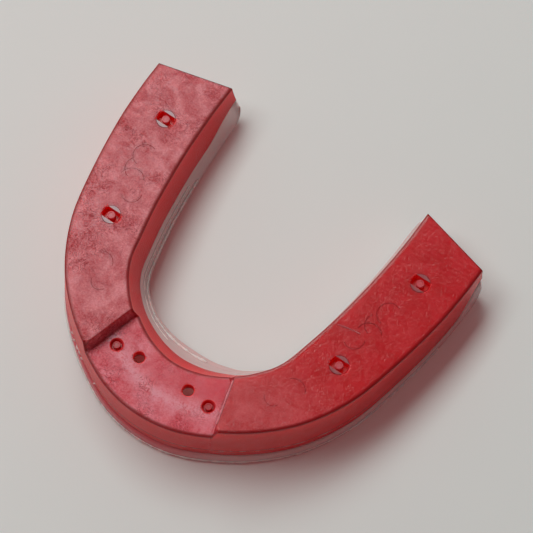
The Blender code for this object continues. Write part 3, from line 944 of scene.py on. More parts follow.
@dataclass(frozen=True)
class MouldedElastomer:
    """Red translucent thermoplastic elastomer, injection moulded against an etched cavity.

    It looks waxy: light travels some millimetres in, so the walls glow, and their red is brightened as
    painted glow; the left pad and the recess are whitened with mottled painted sheen over a rougher satin
    skin, with wrinkles painted darker as shade where it is rough, and hairline swirls where it is smooth.
    """

    name: str = "moulded_red_elastomer"
    colours: dict[str, str] = field(default_factory=lambda: {
        # The side tones are the walls' red brightened as painted glow.
        "pad": "#C40E17", "pad_pale": "#CE1A24", "side": "#FE0E17", "side_pale": "#FE1B26",
        # The whitish tones and the pale floor tone are painted sheen; the plain floor tone is the recess's
        # own pinker red.
        "sheen_painted": "#BE3340", "sheen_painted_pale": "#E4888F", "floor": "#D43448", "floor_sheen": "#EC8492",
        # The ripple tone is a painted highlight; the crease and rim tones are painted shade.
        "ripple_highlight": "#F2A0AC", "crease_shade": "#96101A", "rim": "#7E070E"})
    # Width in millimetres, detail, roughness and bend of each pattern.
    patterns: dict[str, tuple] = field(default_factory=lambda: {
        "mottle": (3.2, 8.0, 0.62, 0.6),
        "flow": (1.1, 5.0, 0.55, 2.2),
        "grain": (0.28, 3.0, 0.5, 0.0),
        "wander": (1.9, 4.0, 0.6, 3.0),
        "area": (5.0, 2.0, 0.5, 0.0)})
    swirl_mm: float = 2.4
    # Strength, depth in millimetres, height pattern and whether it is pressed in.
    bumps: tuple = ((0.35, 0.10, "flow", False), (0.18, 0.05, "swirl", False),
                    (0.50, 0.05, "wrinkled", True), (0.30, 0.03, "grain", False))
    gloss_roughness: tuple[float, float] = (0.12, 0.24)
    satin_roughness: float = 0.36
    light_travel: tuple[float, float, float] = (1.0, 0.12, 0.10)
    light_travel_mm: float = 2.8

    def build(self) -> bpy.types.Material:
        """Return the finish."""
        material, tree, shader = new_material(self.name)
        place = add_node(tree, "ShaderNodeTexCoord").outputs["Object"]
        made: dict[str, object] = {label: linear(code) for label, code in self.colours.items()}
        for zone in Zone:
            made[zone.value] = add_node(tree, "ShaderNodeAttribute",
                                        attribute_name=zone.value).outputs["Fac"]
        for label, (size, detail, rough, bend) in self.patterns.items():
            made[label] = add_node(tree, "ShaderNodeTexNoise", {
                "Vector": place, "Scale": per_mm(size), "Detail": detail, "Roughness": rough,
                "Distortion": bend}).outputs["Fac"]
        made["swirl"] = add_node(tree, "ShaderNodeTexWave", {
            "Vector": place, "Scale": per_mm(self.swirl_mm), "Distortion": 6.0, "Detail": 3.0,
            "Detail Scale": 0.6}, wave_type="RINGS").outputs["Fac"]
        follow_recipe(tree, made, self.recipe())
        rough = add_node(tree, "ShaderNodeMix", {
            0: made[Zone.SATIN_AND_SHEEN.value], 2: made["gloss"], 3: self.satin_roughness}, data_type="FLOAT")
        normal = {}
        for strength, depth, height, pressed in self.bumps:
            bump = add_node(tree, "ShaderNodeBump", {
                "Strength": strength, "Distance": depth * MM, "Height": made[height], **normal},
                invert=pressed)
            normal = {"Normal": bump.outputs["Normal"]}
        tree.links.new(made["colour"], shader.inputs["Base Color"])
        tree.links.new(rough.outputs[0], shader.inputs["Roughness"])
        tree.links.new(normal["Normal"], shader.inputs["Normal"])
        set_uniform(shader, {
            "Subsurface Weight": 1.0, "Subsurface Radius": self.light_travel,
            "Subsurface Scale": self.light_travel_mm * MM, "IOR": 1.52, "Specular IOR Level": 0.32})
        return material

    def recipe(self) -> tuple:
        """Return the steps from zones and patterns to the colour and the gloss of the glossy parts."""
        satin, edge = Zone.SATIN_AND_SHEEN.value, Zone.EDGE.value
        return (
            # Mottling with specks in it, and the two looks of the pads: plain and hazed.
            ("patch", "ramp", ("mottle", 0.40, 0.60, 0.0, 1.0)),
            ("speck", "ramp", ("grain", 0.35, 0.65, 0.0, 1.0)),
            ("speck_share", "MULTIPLY", ("speck", 0.35)),
            ("cloud", "MULTIPLY_ADD", ("patch", 0.65, "speck_share")),
            # Mottling with specks in it, and the two looks of the pads: plain, and whitened with painted
            # sheen.
            ("plain", "mix", ("patch", "pad", "pad_pale")),
            ("sheened_pads", "mix", ("cloud", "sheen_painted", "sheen_painted_pale")),
            ("pads", "mix", (satin, "plain", "sheened_pads")),
            # The recess: floor whitened with painted sheen, with a pale streak of painted highlight along it.
            ("floor_sheen_share", "MULTIPLY", ("cloud", satin)),
            ("recess_floor", "mix", ("floor_sheen_share", "floor", "floor_sheen")),
            ("broken", "ramp", ("flow", 0.35, 0.55, 0.0, 1.0)),
            ("highlight_rippled", "MULTIPLY", (Zone.HIGHLIGHT_STREAK.value, "broken")),
            ("highlight_ripple_share", "MULTIPLY", ("highlight_rippled", 0.75)),
            ("recess", "mix", ("highlight_ripple_share", "recess_floor", "ripple_highlight")),
            ("top", "mix", (Zone.RECESS.value, "pads", "recess")),
            # Wrinkles: thin lines where a wandering pattern crosses its middle value, painted darker as shade
            # in the creases where the painted sheen is.
            ("centred", "SUBTRACT", ("wander", 0.5)),
            ("away", "ABSOLUTE", ("centred",)),
            ("line", "ramp", ("away", 0.0, 0.030, 1.0, 0.0)),
            ("creased", "ramp", ("area", 0.45, 0.60, 0.0, 1.0)),
            ("lines", "MULTIPLY", ("line", "creased")),
            ("wrinkled", "MULTIPLY", ("lines", satin)),
            ("wrinkle_share", "MULTIPLY", ("wrinkled", 0.85)),
            ("wrinkled_top", "mix", ("wrinkle_share", "top", "crease_shade")),
            # The walls with their red brightened as painted glow, then the painted shade line along every
            # edge.
            ("walls", "mix", ("patch", "side", "side_pale")),
            ("body", "mix", (Zone.WALL.value, "wrinkled_top", "walls")),
            ("edge_shade_share", "MULTIPLY", (edge, 0.85)),
            ("colour", "mix", ("edge_shade_share", "body", "rim")),
            ("gloss", "ramp", ("flow", 0.3, 0.7, *self.gloss_roughness)),
        )


@dataclass(frozen=True)
class PocketSkin:
    """The same elastomer inside the deep pockets and holes: glossy, its red brighter than the pads' as
    painted glow in the cavities.
    """

    name: str = "red_pocket_painted_glow"
    # These reds are brighter than the pads' red: painted glow in the cavities.
    colour: str = "#F0141E"
    pale: str = "#F62832"
    cloud_mm: float = 0.8
    roughness: float = 0.3
    light_travel: tuple[float, float, float] = (1.0, 0.12, 0.10)
    light_travel_mm: float = 5.0

    def build(self) -> bpy.types.Material:
        """Return the finish."""
        material, tree, shader = new_material(self.name)
        place = add_node(tree, "ShaderNodeTexCoord").outputs["Object"]
        cloud = add_node(tree, "ShaderNodeTexNoise", {"Vector": place, "Scale": per_mm(self.cloud_mm)})
        tone = add_node(tree, "ShaderNodeMix", {
            0: cloud.outputs["Fac"], 6: linear(self.colour), 7: linear(self.pale)}, data_type="RGBA")
        tree.links.new(tone.outputs[2], shader.inputs["Base Color"])
        set_uniform(shader, {
            "Roughness": self.roughness, "Subsurface Weight": 1.0,
            "Subsurface Radius": self.light_travel, "Subsurface Scale": self.light_travel_mm * MM,
            "IOR": 1.48})
        return material


@dataclass(frozen=True)
class StudPlastic:
    """Pink translucent elastomer of the locking studs, moulded through from the liner, slightly cloudy."""

    name: str
    colour: str
    pale: str
    cloud_mm: float = 0.5
    roughness: float = 0.28
    light_travel: tuple[float, float, float] = (1.0, 0.3, 0.3)
    light_travel_mm: float = 1.5

    def build(self) -> bpy.types.Material:
        """Return the finish."""
        material, tree, shader = new_material(self.name)
        place = add_node(tree, "ShaderNodeTexCoord").outputs["Object"]
        # The satin zone, where a piece carries it, whitens the colour as painted sheen.
        satin = add_node(tree, "ShaderNodeAttribute", attribute_name=Zone.SATIN_AND_SHEEN.value).outputs["Fac"]
        cloud = add_node(tree, "ShaderNodeTexNoise", {
            "Vector": place, "Scale": per_mm(self.cloud_mm), "Detail": 3.0}).outputs["Fac"]
        share = add_node(tree, "ShaderNodeMath", {0: cloud, 1: 0.35, 2: satin}, operation="MULTIPLY_ADD")
        tone = add_node(tree, "ShaderNodeMix", {
            0: share.outputs[0], 6: linear(self.colour), 7: linear(self.pale)}, data_type="RGBA")
        dent = add_node(tree, "ShaderNodeBump", {
            "Strength": 0.3, "Distance": 0.03 * MM, "Height": cloud})
        tree.links.new(tone.outputs[2], shader.inputs["Base Color"])
        tree.links.new(dent.outputs["Normal"], shader.inputs["Normal"])
        set_uniform(shader, {
            "Roughness": self.roughness, "Subsurface Weight": 0.6,
            "Subsurface Radius": self.light_travel, "Subsurface Scale": self.light_travel_mm * MM,
            "IOR": 1.48})
        return material


@dataclass(frozen=True)
class ClearEva:
    """Clear ethylene vinyl acetate, injection moulded: soft, slightly cloudy, with a dull gloss."""

    name: str = "clear_soft_eva"
    colour: str = "#FFE6E4"
    cloudy: str = "#FED8D6"
    lip_side_red_glow: str = "#FF6E7A"
    cloud_mm: float = 1.8
    roughness: float = 0.24

    def build(self) -> bpy.types.Material:
        """Return the finish."""
        material, tree, shader = new_material(self.name)
        place = add_node(tree, "ShaderNodeTexCoord").outputs["Object"]
        cloud = add_node(tree, "ShaderNodeTexNoise", {
            "Vector": place, "Scale": per_mm(self.cloud_mm), "Detail": 4.0}).outputs["Fac"]
        clear = add_node(tree, "ShaderNodeMix", {
            0: cloud, 6: linear(self.colour), 7: linear(self.cloudy)}, data_type="RGBA")
        # On the lip side the liner is painted pink as red glow from the shell behind it.
        shell_red_glow = add_node(tree, "ShaderNodeAttribute", attribute_name=Zone.WALL.value).outputs["Fac"]
        tone = add_node(tree, "ShaderNodeMix", {
            0: shell_red_glow, 6: clear.outputs[2], 7: linear(self.lip_side_red_glow)}, data_type="RGBA")
        dent = add_node(tree, "ShaderNodeBump", {
            "Strength": 0.2, "Distance": 0.08 * MM, "Height": cloud})
        tree.links.new(tone.outputs[2], shader.inputs["Base Color"])
        tree.links.new(dent.outputs["Normal"], shader.inputs["Normal"])
        set_uniform(shader, {
            "Roughness": self.roughness, "Transmission Weight": 0.45, "IOR": 1.45})
        return material


# ---------------------------------------------------------------- repeated details

def new_group(name: str, inputs: dict[str, tuple[str, object]]) -> tuple[bpy.types.NodeTree, bpy.types.Node]:
    """Make a Geometry Nodes tree with named inputs.

    Args:
        name: name of the tree.
        inputs: socket type and default value, by name.

    Returns:
        The tree and its input node.
    """
    tree = bpy.data.node_groups.new(name, "GeometryNodeTree")
    tree.interface.new_socket("Geometry", in_out="INPUT", socket_type="NodeSocketGeometry")
    for label, (kind, value) in inputs.items():
        socket = tree.interface.new_socket(label, in_out="INPUT", socket_type=kind)
        if value is not None:
            socket.default_value = value
    tree.interface.new_socket("Geometry", in_out="OUTPUT", socket_type="NodeSocketGeometry")
    return tree, tree.nodes.new("NodeGroupInput")


def close_group(tree: bpy.types.NodeTree, geometry: bpy.types.NodeSocket,
                finish: bpy.types.NodeSocket) -> None:
    """End a tree in Realize Instances and Set Material."""
    real = add_node(tree, "GeometryNodeRealizeInstances", {0: geometry})
    dressed = add_node(tree, "GeometryNodeSetMaterial", {
        "Geometry": real.outputs[0], "Material": finish})
    add_node(tree, "NodeGroupOutput", {0: dressed.outputs[0]})


def grow(item: bpy.types.Object, tree: bpy.types.NodeTree, values: dict[str, object],
         angle: float = 32.0) -> bpy.types.Object:
    """Run a tree on an object with the given inputs and keep the result as plain mesh."""
    modifier = item.modifiers.new(tree.name, "NODES")
    modifier.node_group = tree
    for socket in tree.interface.items_tree:
        if socket.in_out == "INPUT" and socket.name in values:
            modifier[socket.identifier] = values[socket.name]
    settle(item, angle)
    for index in reversed(range(len(item.data.materials))):
        if item.data.materials[index] is None:
            item.data.materials.pop(index=index)
    return item


def point_cloud(name: str, places: list[tuple[float, float, float]],
                attributes: dict[str, list[float]] | None = None,
                edges: list[tuple[int, int]] | None = None) -> bpy.types.Object:
    """Return an object of loose vertices, joined by edges where given, with float attributes."""
    mesh = bpy.data.meshes.new(name)
    mesh.from_pydata([tuple(map(float, place)) for place in places], edges or [], [])
    for label, values in (attributes or {}).items():
        layer = mesh.attributes.new(label, "FLOAT", "POINT")
        layer.data.foreach_set("value", np.asarray(values, dtype=np.float32))
    item = bpy.data.objects.new(name, mesh)
    bpy.context.scene.collection.objects.link(item)
    return item


@dataclass
class LockingStuds:
    """Round studs of the liner that stand in the shell's pockets and dimples and lock the two shots."""

    shell: OuterShell
    plate: PlateFrame
    pocket_radius: float = 0.66
    front_radius: float = 0.60
    flush: float = 0.10
    chamfer: float = 0.10
    dish: float = 0.07
    segments: int = 40
    foot_gap: float = 0.02
    # Size of the top after each step up: past the chamfer, inside the lip and down in the bowl.
    top_scales: tuple[float, float, float] = (0.86, 0.80, 0.85)

    def tree(self) -> bpy.types.NodeTree:
        """Return the tree that stands a chamfered, slightly dished stud on every point."""
        number = "NodeSocketFloat"
        tree, given = new_group("locking_stud", {
            "Radius": (number, 0.6), "Height": (number, 2.0), "Chamfer": (number, 0.1),
            "Dish": (number, 0.05), "Segments": ("NodeSocketInt", 40),
            "Finish": ("NodeSocketMaterial", None)})
        disc = add_node(tree, "GeometryNodeMeshCircle", {
            "Vertices": given.outputs["Segments"], "Radius": given.outputs["Radius"]}, fill_type="NGON")
        straight = add_node(tree, "ShaderNodeMath", {
            0: given.outputs["Height"], 1: given.outputs["Chamfer"]}, operation="SUBTRACT")
        down = add_node(tree, "ShaderNodeMath", {0: given.outputs["Dish"], 1: -1.0}, operation="MULTIPLY")
        past_chamfer, inside_lip, in_bowl = self.top_scales
        body = self.step(tree, disc.outputs[0], None, straight.outputs[0], 1.0)
        rim = self.step(tree, *body, given.outputs["Chamfer"], past_chamfer)
        lip = self.step(tree, *rim, 0.0, inside_lip)
        bowl = self.step(tree, *lip, down.outputs[0], in_bowl)
        base = add_node(tree, "GeometryNodeFlipFaces", {0: disc.outputs[0]})
        both = add_node(tree, "GeometryNodeJoinGeometry")
        for part in (bowl[0], base.outputs[0]):
            tree.links.new(part, both.inputs[0])
        closed = add_node(tree, "GeometryNodeMergeByDistance", {
            "Geometry": both.outputs[0], "Distance": 0.001})
        stood = add_node(tree, "GeometryNodeInstanceOnPoints", {
            "Points": given.outputs["Geometry"], "Instance": closed.outputs[0]})
        close_group(tree, stood.outputs[0], given.outputs["Finish"])
        return tree

    @staticmethod
    def step(tree: bpy.types.NodeTree, mesh: bpy.types.NodeSocket, top: bpy.types.NodeSocket | None,
             lift, scale: float) -> tuple[bpy.types.NodeSocket, bpy.types.NodeSocket]:
        """Raise the top face and scale it; return the mesh and the new top."""
        inputs = {"Mesh": mesh, "Offset Scale": lift, "Individual": False}
        if top is not None:
            inputs["Selection"] = top
        raised = add_node(tree, "GeometryNodeExtrudeMesh", inputs, mode="FACES")
        sized = add_node(tree, "GeometryNodeScaleElements", {
            "Geometry": raised.outputs["Mesh"], "Selection": raised.outputs["Top"], "Scale": scale})
        return sized.outputs[0], raised.outputs["Top"]

    def stand(self, name: str, places: list[tuple[float, float, float]], radius: float, height: float,
              finish: bpy.types.Material) -> bpy.types.Object:
        """Stand studs on their foot points and place them."""
        studs = grow(point_cloud(name, places), self.tree(), {
            "Radius": radius, "Height": height, "Chamfer": self.chamfer, "Dish": self.dish,
            "Segments": self.segments, "Finish": finish})
        return self.plate.place(studs)

    def pocket_studs(self, finish: bpy.types.Material) -> bpy.types.Object:
        """Return the four studs in the pockets."""
        foot = -self.shell.pocket_depth + self.foot_gap
        places = [(sign * x, y, foot) for x, y in self.shell.pockets.values() for sign in SIDES.values()]
        return self.stand("pocket_studs", places, self.pocket_radius, -self.flush - foot, finish)

    def front_studs(self, finish: bpy.types.Material) -> bpy.types.Object:
        """Return the two studs in the front dimples."""
        floor = -self.shell.recess_depth
        foot = floor - self.shell.dimple_depth + self.foot_gap
        x, y = self.shell.dimples
        places = [(sign * x, y, foot) for sign in SIDES.values()]
        return self.stand("front_studs", places, self.front_radius, floor - self.flush - foot, finish)


@dataclass
class ToolMarks:
    """Fine raised rings and arcs that the mould's pins and cutter leave on the pads."""

    shell: OuterShell
    plate: PlateFrame
    bead: float = 0.055
    sink: float = 0.02
    witness_radius: float = 1.52
    whole_ring: float = 1.5
    resolution: int = 72
    smooth_below: float = 60.0
    # Place, radius, turn and share of the circle of each pin's arc.
    pin_spots: tuple = (
        (22.6, 6.0, 2.0, 0.6, 0.42), (22.9, 8.1, 2.0, 2.6, 0.30), (23.3, 10.6, 1.9, 1.2, 0.55),
        (21.2, 4.2, 1.6, 4.0, 0.45), (18.2, -8.0, 1.9, 0.3, 0.35), (16.4, -10.6, 1.4, 3.4, 0.4))

    def tree(self) -> bpy.types.NodeTree:
        """Return the tree that sweeps a fine bead round an arc on every point."""
        number = "NodeSocketFloat"
        tree, given = new_group("tool_mark", {
            "Bead": (number, 0.05), "Resolution": ("NodeSocketInt", 72),
            "Finish": ("NodeSocketMaterial", None)})
        named = {label: add_node(tree, "GeometryNodeInputNamedAttribute", {"Name": label},
                                 data_type="FLOAT").outputs["Attribute"]
                 for label in ("mark_radius", "mark_turn", "mark_sweep")}
        ring = add_node(tree, "GeometryNodeCurvePrimitiveCircle", {
            "Resolution": given.outputs["Resolution"], "Radius": 1.0}, mode="RADIUS")
        turn = add_node(tree, "ShaderNodeCombineXYZ", {"Z": named["mark_turn"]})
        stood = add_node(tree, "GeometryNodeInstanceOnPoints", {
            "Points": given.outputs["Geometry"], "Instance": ring.outputs[0],
            "Rotation": turn.outputs[0], "Scale": named["mark_radius"]})
        real = add_node(tree, "GeometryNodeRealizeInstances", {0: stood.outputs[0]})
        along = add_node(tree, "GeometryNodeSplineParameter")
        beyond = add_node(tree, "FunctionNodeCompare", {0: along.outputs["Factor"], 1: named["mark_sweep"]},
                          data_type="FLOAT", operation="GREATER_THAN")
        whole = add_node(tree, "FunctionNodeCompare", {0: named["mark_sweep"], 1: 1.0},
                         data_type="FLOAT", operation="GREATER_THAN")
        opened = add_node(tree, "GeometryNodeSetSplineCyclic", {
            "Geometry": real.outputs[0], "Cyclic": whole.outputs[0]})
        kept = add_node(tree, "GeometryNodeDeleteGeometry", {
            "Geometry": opened.outputs[0], "Selection": beyond.outputs[0]}, domain="POINT")
        section = add_node(tree, "GeometryNodeCurvePrimitiveCircle", {
            "Resolution": 6, "Radius": given.outputs["Bead"]}, mode="RADIUS")
        bead = add_node(tree, "GeometryNodeCurveToMesh", {
            "Curve": kept.outputs[0], "Profile Curve": section.outputs[0], "Fill Caps": True})
        close_group(tree, bead.outputs[0], given.outputs["Finish"])
        return tree

    def build(self, finish: bpy.types.Material) -> bpy.types.Object:
        """Build the rings round the pockets and the pin arcs between them."""
        rings = [(x, y, self.witness_radius, 0.0, self.whole_ring) for x, y in self.shell.pockets.values()]
        spots = [(sign * x, y, *arc) for sign in SIDES.values() for x, y, *arc in (*rings, *self.pin_spots)]
        places = [(x, y, -self.sink) for x, y, *_ in spots]
        _, _, radii, turns, sweeps = (list(values) for values in zip(*spots))
        marks = grow(point_cloud("tool_marks", places, {
            "mark_radius": radii, "mark_turn": turns, "mark_sweep": sweeps}), self.tree(), {
            "Bead": self.bead, "Resolution": self.resolution, "Finish": finish}, self.smooth_below)
        return self.plate.place(marks)


@dataclass
class PocketFaces:
    """Thin flats beside each pocket's slot, inside its witness ring, whitened with painted sheen on the left
    pad.
    """

    shell: OuterShell
    plate: PlateFrame
    radius: float = 1.48
    gap: float = 0.10
    proud: float = 0.025
    sunk: float = 0.05
    steps: int = 14
    smooth_below: float = 30.0

    def build(self, finish: bpy.types.Material) -> bpy.types.Object:
        """Build the eight flats."""
        half = self.shell.pocket_width / 2.0 + self.gap
        limit = math.acos(half / self.radius)
        points, faces, satin = [], [], []
        for side, sign in SIDES.items():
            for x, y in self.shell.pockets.values():
                for turn in (0.5 * math.pi, 1.5 * math.pi):
                    start = len(points)
                    angles = np.linspace(turn - limit, turn + limit, self.steps)
                    outline = [(sign * x + self.radius * math.cos(angle), y + self.radius * math.sin(angle))
                               for angle in angles]
                    for height in (-self.sunk, self.proud):
                        points += [(*flat, height) for flat in outline]
                    count = len(outline)
                    faces.append(tuple(start + index for index in range(count)))
                    faces.append(tuple(start + 2 * count - 1 - index for index in range(count)))
                    faces += [(start + index, start + (index + 1) % count,
                               start + count + (index + 1) % count, start + count + index)
                              for index in range(count)]
                    # Painted sheen: the left flats are whitened, the right ones stay red.
                    satin += [1.0 if side == "left" else 0.0] * (2 * count)
        flats = mesh_piece("pocket_faces", np.array(points), faces, {Zone.SATIN_AND_SHEEN: np.array(satin)})
        flats.data.materials.append(finish)
        return self.plate.place(settle(flats, self.smooth_below))


@dataclass
class PartingFlash:
    """Clear flash that the liner's shot leaves along the shell's ledge: a bead and a few torn flakes."""

    arch: Arch
    shell: OuterShell
    plate: PlateFrame
    bead: float = 0.07
    reach: tuple[float, float] = (-24.0, 30.0)
    flake_reach: tuple[float, float] = (-17.0, -7.5)
    flake_size: float = 0.42
    flake_shape: tuple[float, float, float] = (1.0, 0.55, 0.30)
    flake_rarity: float = 0.78
    seed: int = 5
    path_step: float = 0.4
    path_points: int = 260
    # How far the flash lies inside the wall's face and below the ledge's edge.
    ledge_inset: tuple[float, float] = (0.06, 0.05)
    smooth_below: float = 60.0
    # Name, start and end along the arch, height over the rim and radius of the tongue-side ridges.
    tongue_ridges: tuple = (("tongue_ridge_low", -46.0, 6.0, 1.0, 0.24),
                            ("tongue_ridge_high", -44.0, -6.0, 2.2, 0.12))
    lip_ridge: tuple[float, float, float, float] = (-22.0, 46.0, 0.95, 0.16)
    ridge_step: float = 0.5
    ridge_lift: dict[str, float] = field(default_factory=lambda: {"tongue": 0.02, "lip": 0.01})
    step_highlight_bead: float = 0.15
    step_highlight_reach: tuple[float, float] = (0.13, 0.96)
    step_highlight_shift: tuple[float, float, float] = (-0.06, -0.02, -0.05)
    scuff_bead: float = 0.08
    scuff_bow: float = 0.12
    scuff_ends: tuple = ((17.7, 4.7, 0.0), (21.4, 5.4, 0.0))

    def tree(self) -> bpy.types.NodeTree:
        """Return the tree that sweeps an uneven bead along the path and tears flakes from a stretch of it."""
        number = "NodeSocketFloat"
        tree, given = new_group("parting_flash", {
            "Bead": (number, 0.07), "Flake Size": (number, 0.4), "Seed": ("NodeSocketInt", 1),
            "Finish": ("NodeSocketMaterial", None)})
        curve = add_node(tree, "GeometryNodeMeshToCurve", {0: given.outputs["Geometry"]})
        even = add_node(tree, "GeometryNodeResampleCurve", {
            "Curve": curve.outputs[0], "Count": self.path_points})
        wander = add_node(tree, "ShaderNodeTexNoise", {"Scale": 0.9, "Detail": 3.0})
        thickness = add_node(tree, "ShaderNodeMapRange", {
            "Value": wander.outputs["Fac"], "From Min": 0.35, "From Max": 0.65, "To Min": 0.45,
            "To Max": 1.3})
        sized = add_node(tree, "GeometryNodeSetCurveRadius", {
            "Curve": even.outputs[0], "Radius": thickness.outputs["Result"]})
        section = add_node(tree, "GeometryNodeCurvePrimitiveCircle", {
            "Resolution": 7, "Radius": given.outputs["Bead"]}, mode="RADIUS")
        bead = add_node(tree, "GeometryNodeCurveToMesh", {
            "Curve": sized.outputs[0], "Profile Curve": section.outputs[0], "Fill Caps": True,
            "Scale": thickness.outputs["Result"]})
        torn = add_node(tree, "GeometryNodeInputNamedAttribute", {"Name": "torn"}, data_type="FLOAT")
        chance = add_node(tree, "FunctionNodeRandomValue", {
            2: 0.0, 3: 1.0, "Seed": given.outputs["Seed"]}, data_type="FLOAT")
        both = add_node(tree, "ShaderNodeMath", {0: torn.outputs["Attribute"], 1: chance.outputs[1]},
                        operation="MULTIPLY")
        picked = add_node(tree, "FunctionNodeCompare", {0: both.outputs[0], 1: self.flake_rarity},
                          data_type="FLOAT", operation="GREATER_THAN")
        flake = add_node(tree, "GeometryNodeMeshIcoSphere", {"Subdivisions": 3, "Radius": 1.0})
        ragged = add_node(tree, "ShaderNodeTexNoise", {"Scale": 1.6, "Detail": 2.0})
        pulled = add_node(tree, "ShaderNodeVectorMath", {
            0: ragged.outputs["Color"], 1: (0.5, 0.5, 0.5)}, operation="SUBTRACT")
        uneven = add_node(tree, "GeometryNodeSetPosition", {
            "Geometry": flake.outputs[0], "Offset": pulled.outputs[0]})
        spin = add_node(tree, "FunctionNodeRandomValue", {
            0: (-0.5, -0.5, 0.0), 1: (0.5, 0.5, 6.28), "Seed": given.outputs["Seed"]},
            data_type="FLOAT_VECTOR")
        flat = add_node(tree, "ShaderNodeVectorMath", {
            0: self.flake_shape, "Scale": given.outputs["Flake Size"]}, operation="SCALE")
        stood = add_node(tree, "GeometryNodeInstanceOnPoints", {
            "Points": even.outputs[0], "Selection": picked.outputs[0], "Instance": uneven.outputs[0],
            "Rotation": spin.outputs[0], "Scale": flat.outputs[0]})
        joined = add_node(tree, "GeometryNodeJoinGeometry")
        for part in (bead.outputs[0], stood.outputs[0]):
            tree.links.new(part, joined.inputs[0])
        close_group(tree, joined.outputs[0], given.outputs["Finish"])
        return tree

    def sweep(self, name: str, path: np.ndarray, bead: float, finish: bpy.types.Material,
              torn: np.ndarray | None = None) -> bpy.types.Object:
        """Sweep an uneven bead along a path.

        Args:
            name: name of the piece.
            path: points of the path in plate millimetres.
            bead: radius of the bead.
            finish: its material.
            torn: 1 at the points of the path that may carry flakes.

        Returns:
            The placed piece.
        """
        edges = [(index, index + 1) for index in range(len(path) - 1)]
        marks = np.zeros(len(path)) if torn is None else torn
        piece = grow(point_cloud(name, path.tolist(), {"torn": marks.tolist()}, edges), self.tree(), {
            "Bead": bead, "Flake Size": self.flake_size, "Seed": self.seed, "Finish": finish},
            self.smooth_below)
        return self.plate.place(piece)

    def rim_ridges(self, finish: bpy.types.Material) -> list[bpy.types.Object]:
        """Return the fine ridges that run along the clear rim on the tongue side and the lip side, whitish as
        painted highlight lines.
        """
        ridges = []
        for name, start, end, lift, bead in self.tongue_ridges:
            cuts = self.arch.sections(np.arange(start, end, self.ridge_step))
            depth = cuts.lingual_rim(0.0) - lift
            ridges.append(self.sweep(name, cuts.lingual(cuts.flare(depth) + self.ridge_lift["tongue"], depth),
                                     bead, finish))
        start, end, lift, bead = self.lip_ridge
        cuts = self.arch.sections(np.arange(start, end, self.ridge_step))
        depth = cuts.labial_rim(0.0) - lift
        ridges.append(self.sweep("lip_ridge",
                                 cuts.labial(cuts.labial_draft * depth + self.ridge_lift["lip"], depth),
                                 bead, finish))
        return ridges

    def step_highlight(self, finish: bpy.types.Material) -> bpy.types.Object:
        """Return the thin bead along the top edge of the right step, pale as a painted highlight line."""
        outer, inner = np.array((*self.shell.step_outer, 0.0)), np.array((*self.shell.step_inner, 0.0))
        shares = np.linspace(*self.step_highlight_reach, 30)[:, None]
        path = outer + (inner - outer) * shares + np.array(self.step_highlight_shift)
        return self.sweep("step_highlight", path, self.step_highlight_bead, finish)

    def scratch(self, finish: bpy.types.Material) -> bpy.types.Object:
        """Return the light scuff across the right pad, raised as a burr."""
        shares = np.linspace(0.0, 1.0, 24)[:, None]
        start, end = (np.array(point) for point in self.scuff_ends)
        path = start + (end - start) * shares
        path[:, 1] += self.scuff_bow * np.sin(shares[:, 0] * 3.0)
        return self.sweep("pad_scuff", path, self.scuff_bead, finish)

    def build(self, finish: bpy.types.Material) -> bpy.types.Object:
        """Build the flash along the ledge."""
        distances = np.arange(*self.reach, self.path_step)
        cuts = self.arch.sections(distances)
        ledge = self.shell.ledge_share * cuts.shell_edges()[0]
        inset, drop = self.ledge_inset
        path = cuts.labial(cuts.labial_draft * ledge - inset, ledge + drop)
        torn = ((distances > self.flake_reach[0]) & (distances < self.flake_reach[1])).astype(float)
        return self.sweep("parting_flash", path, self.bead, finish, torn)


# ---------------------------------------------------------------- studio

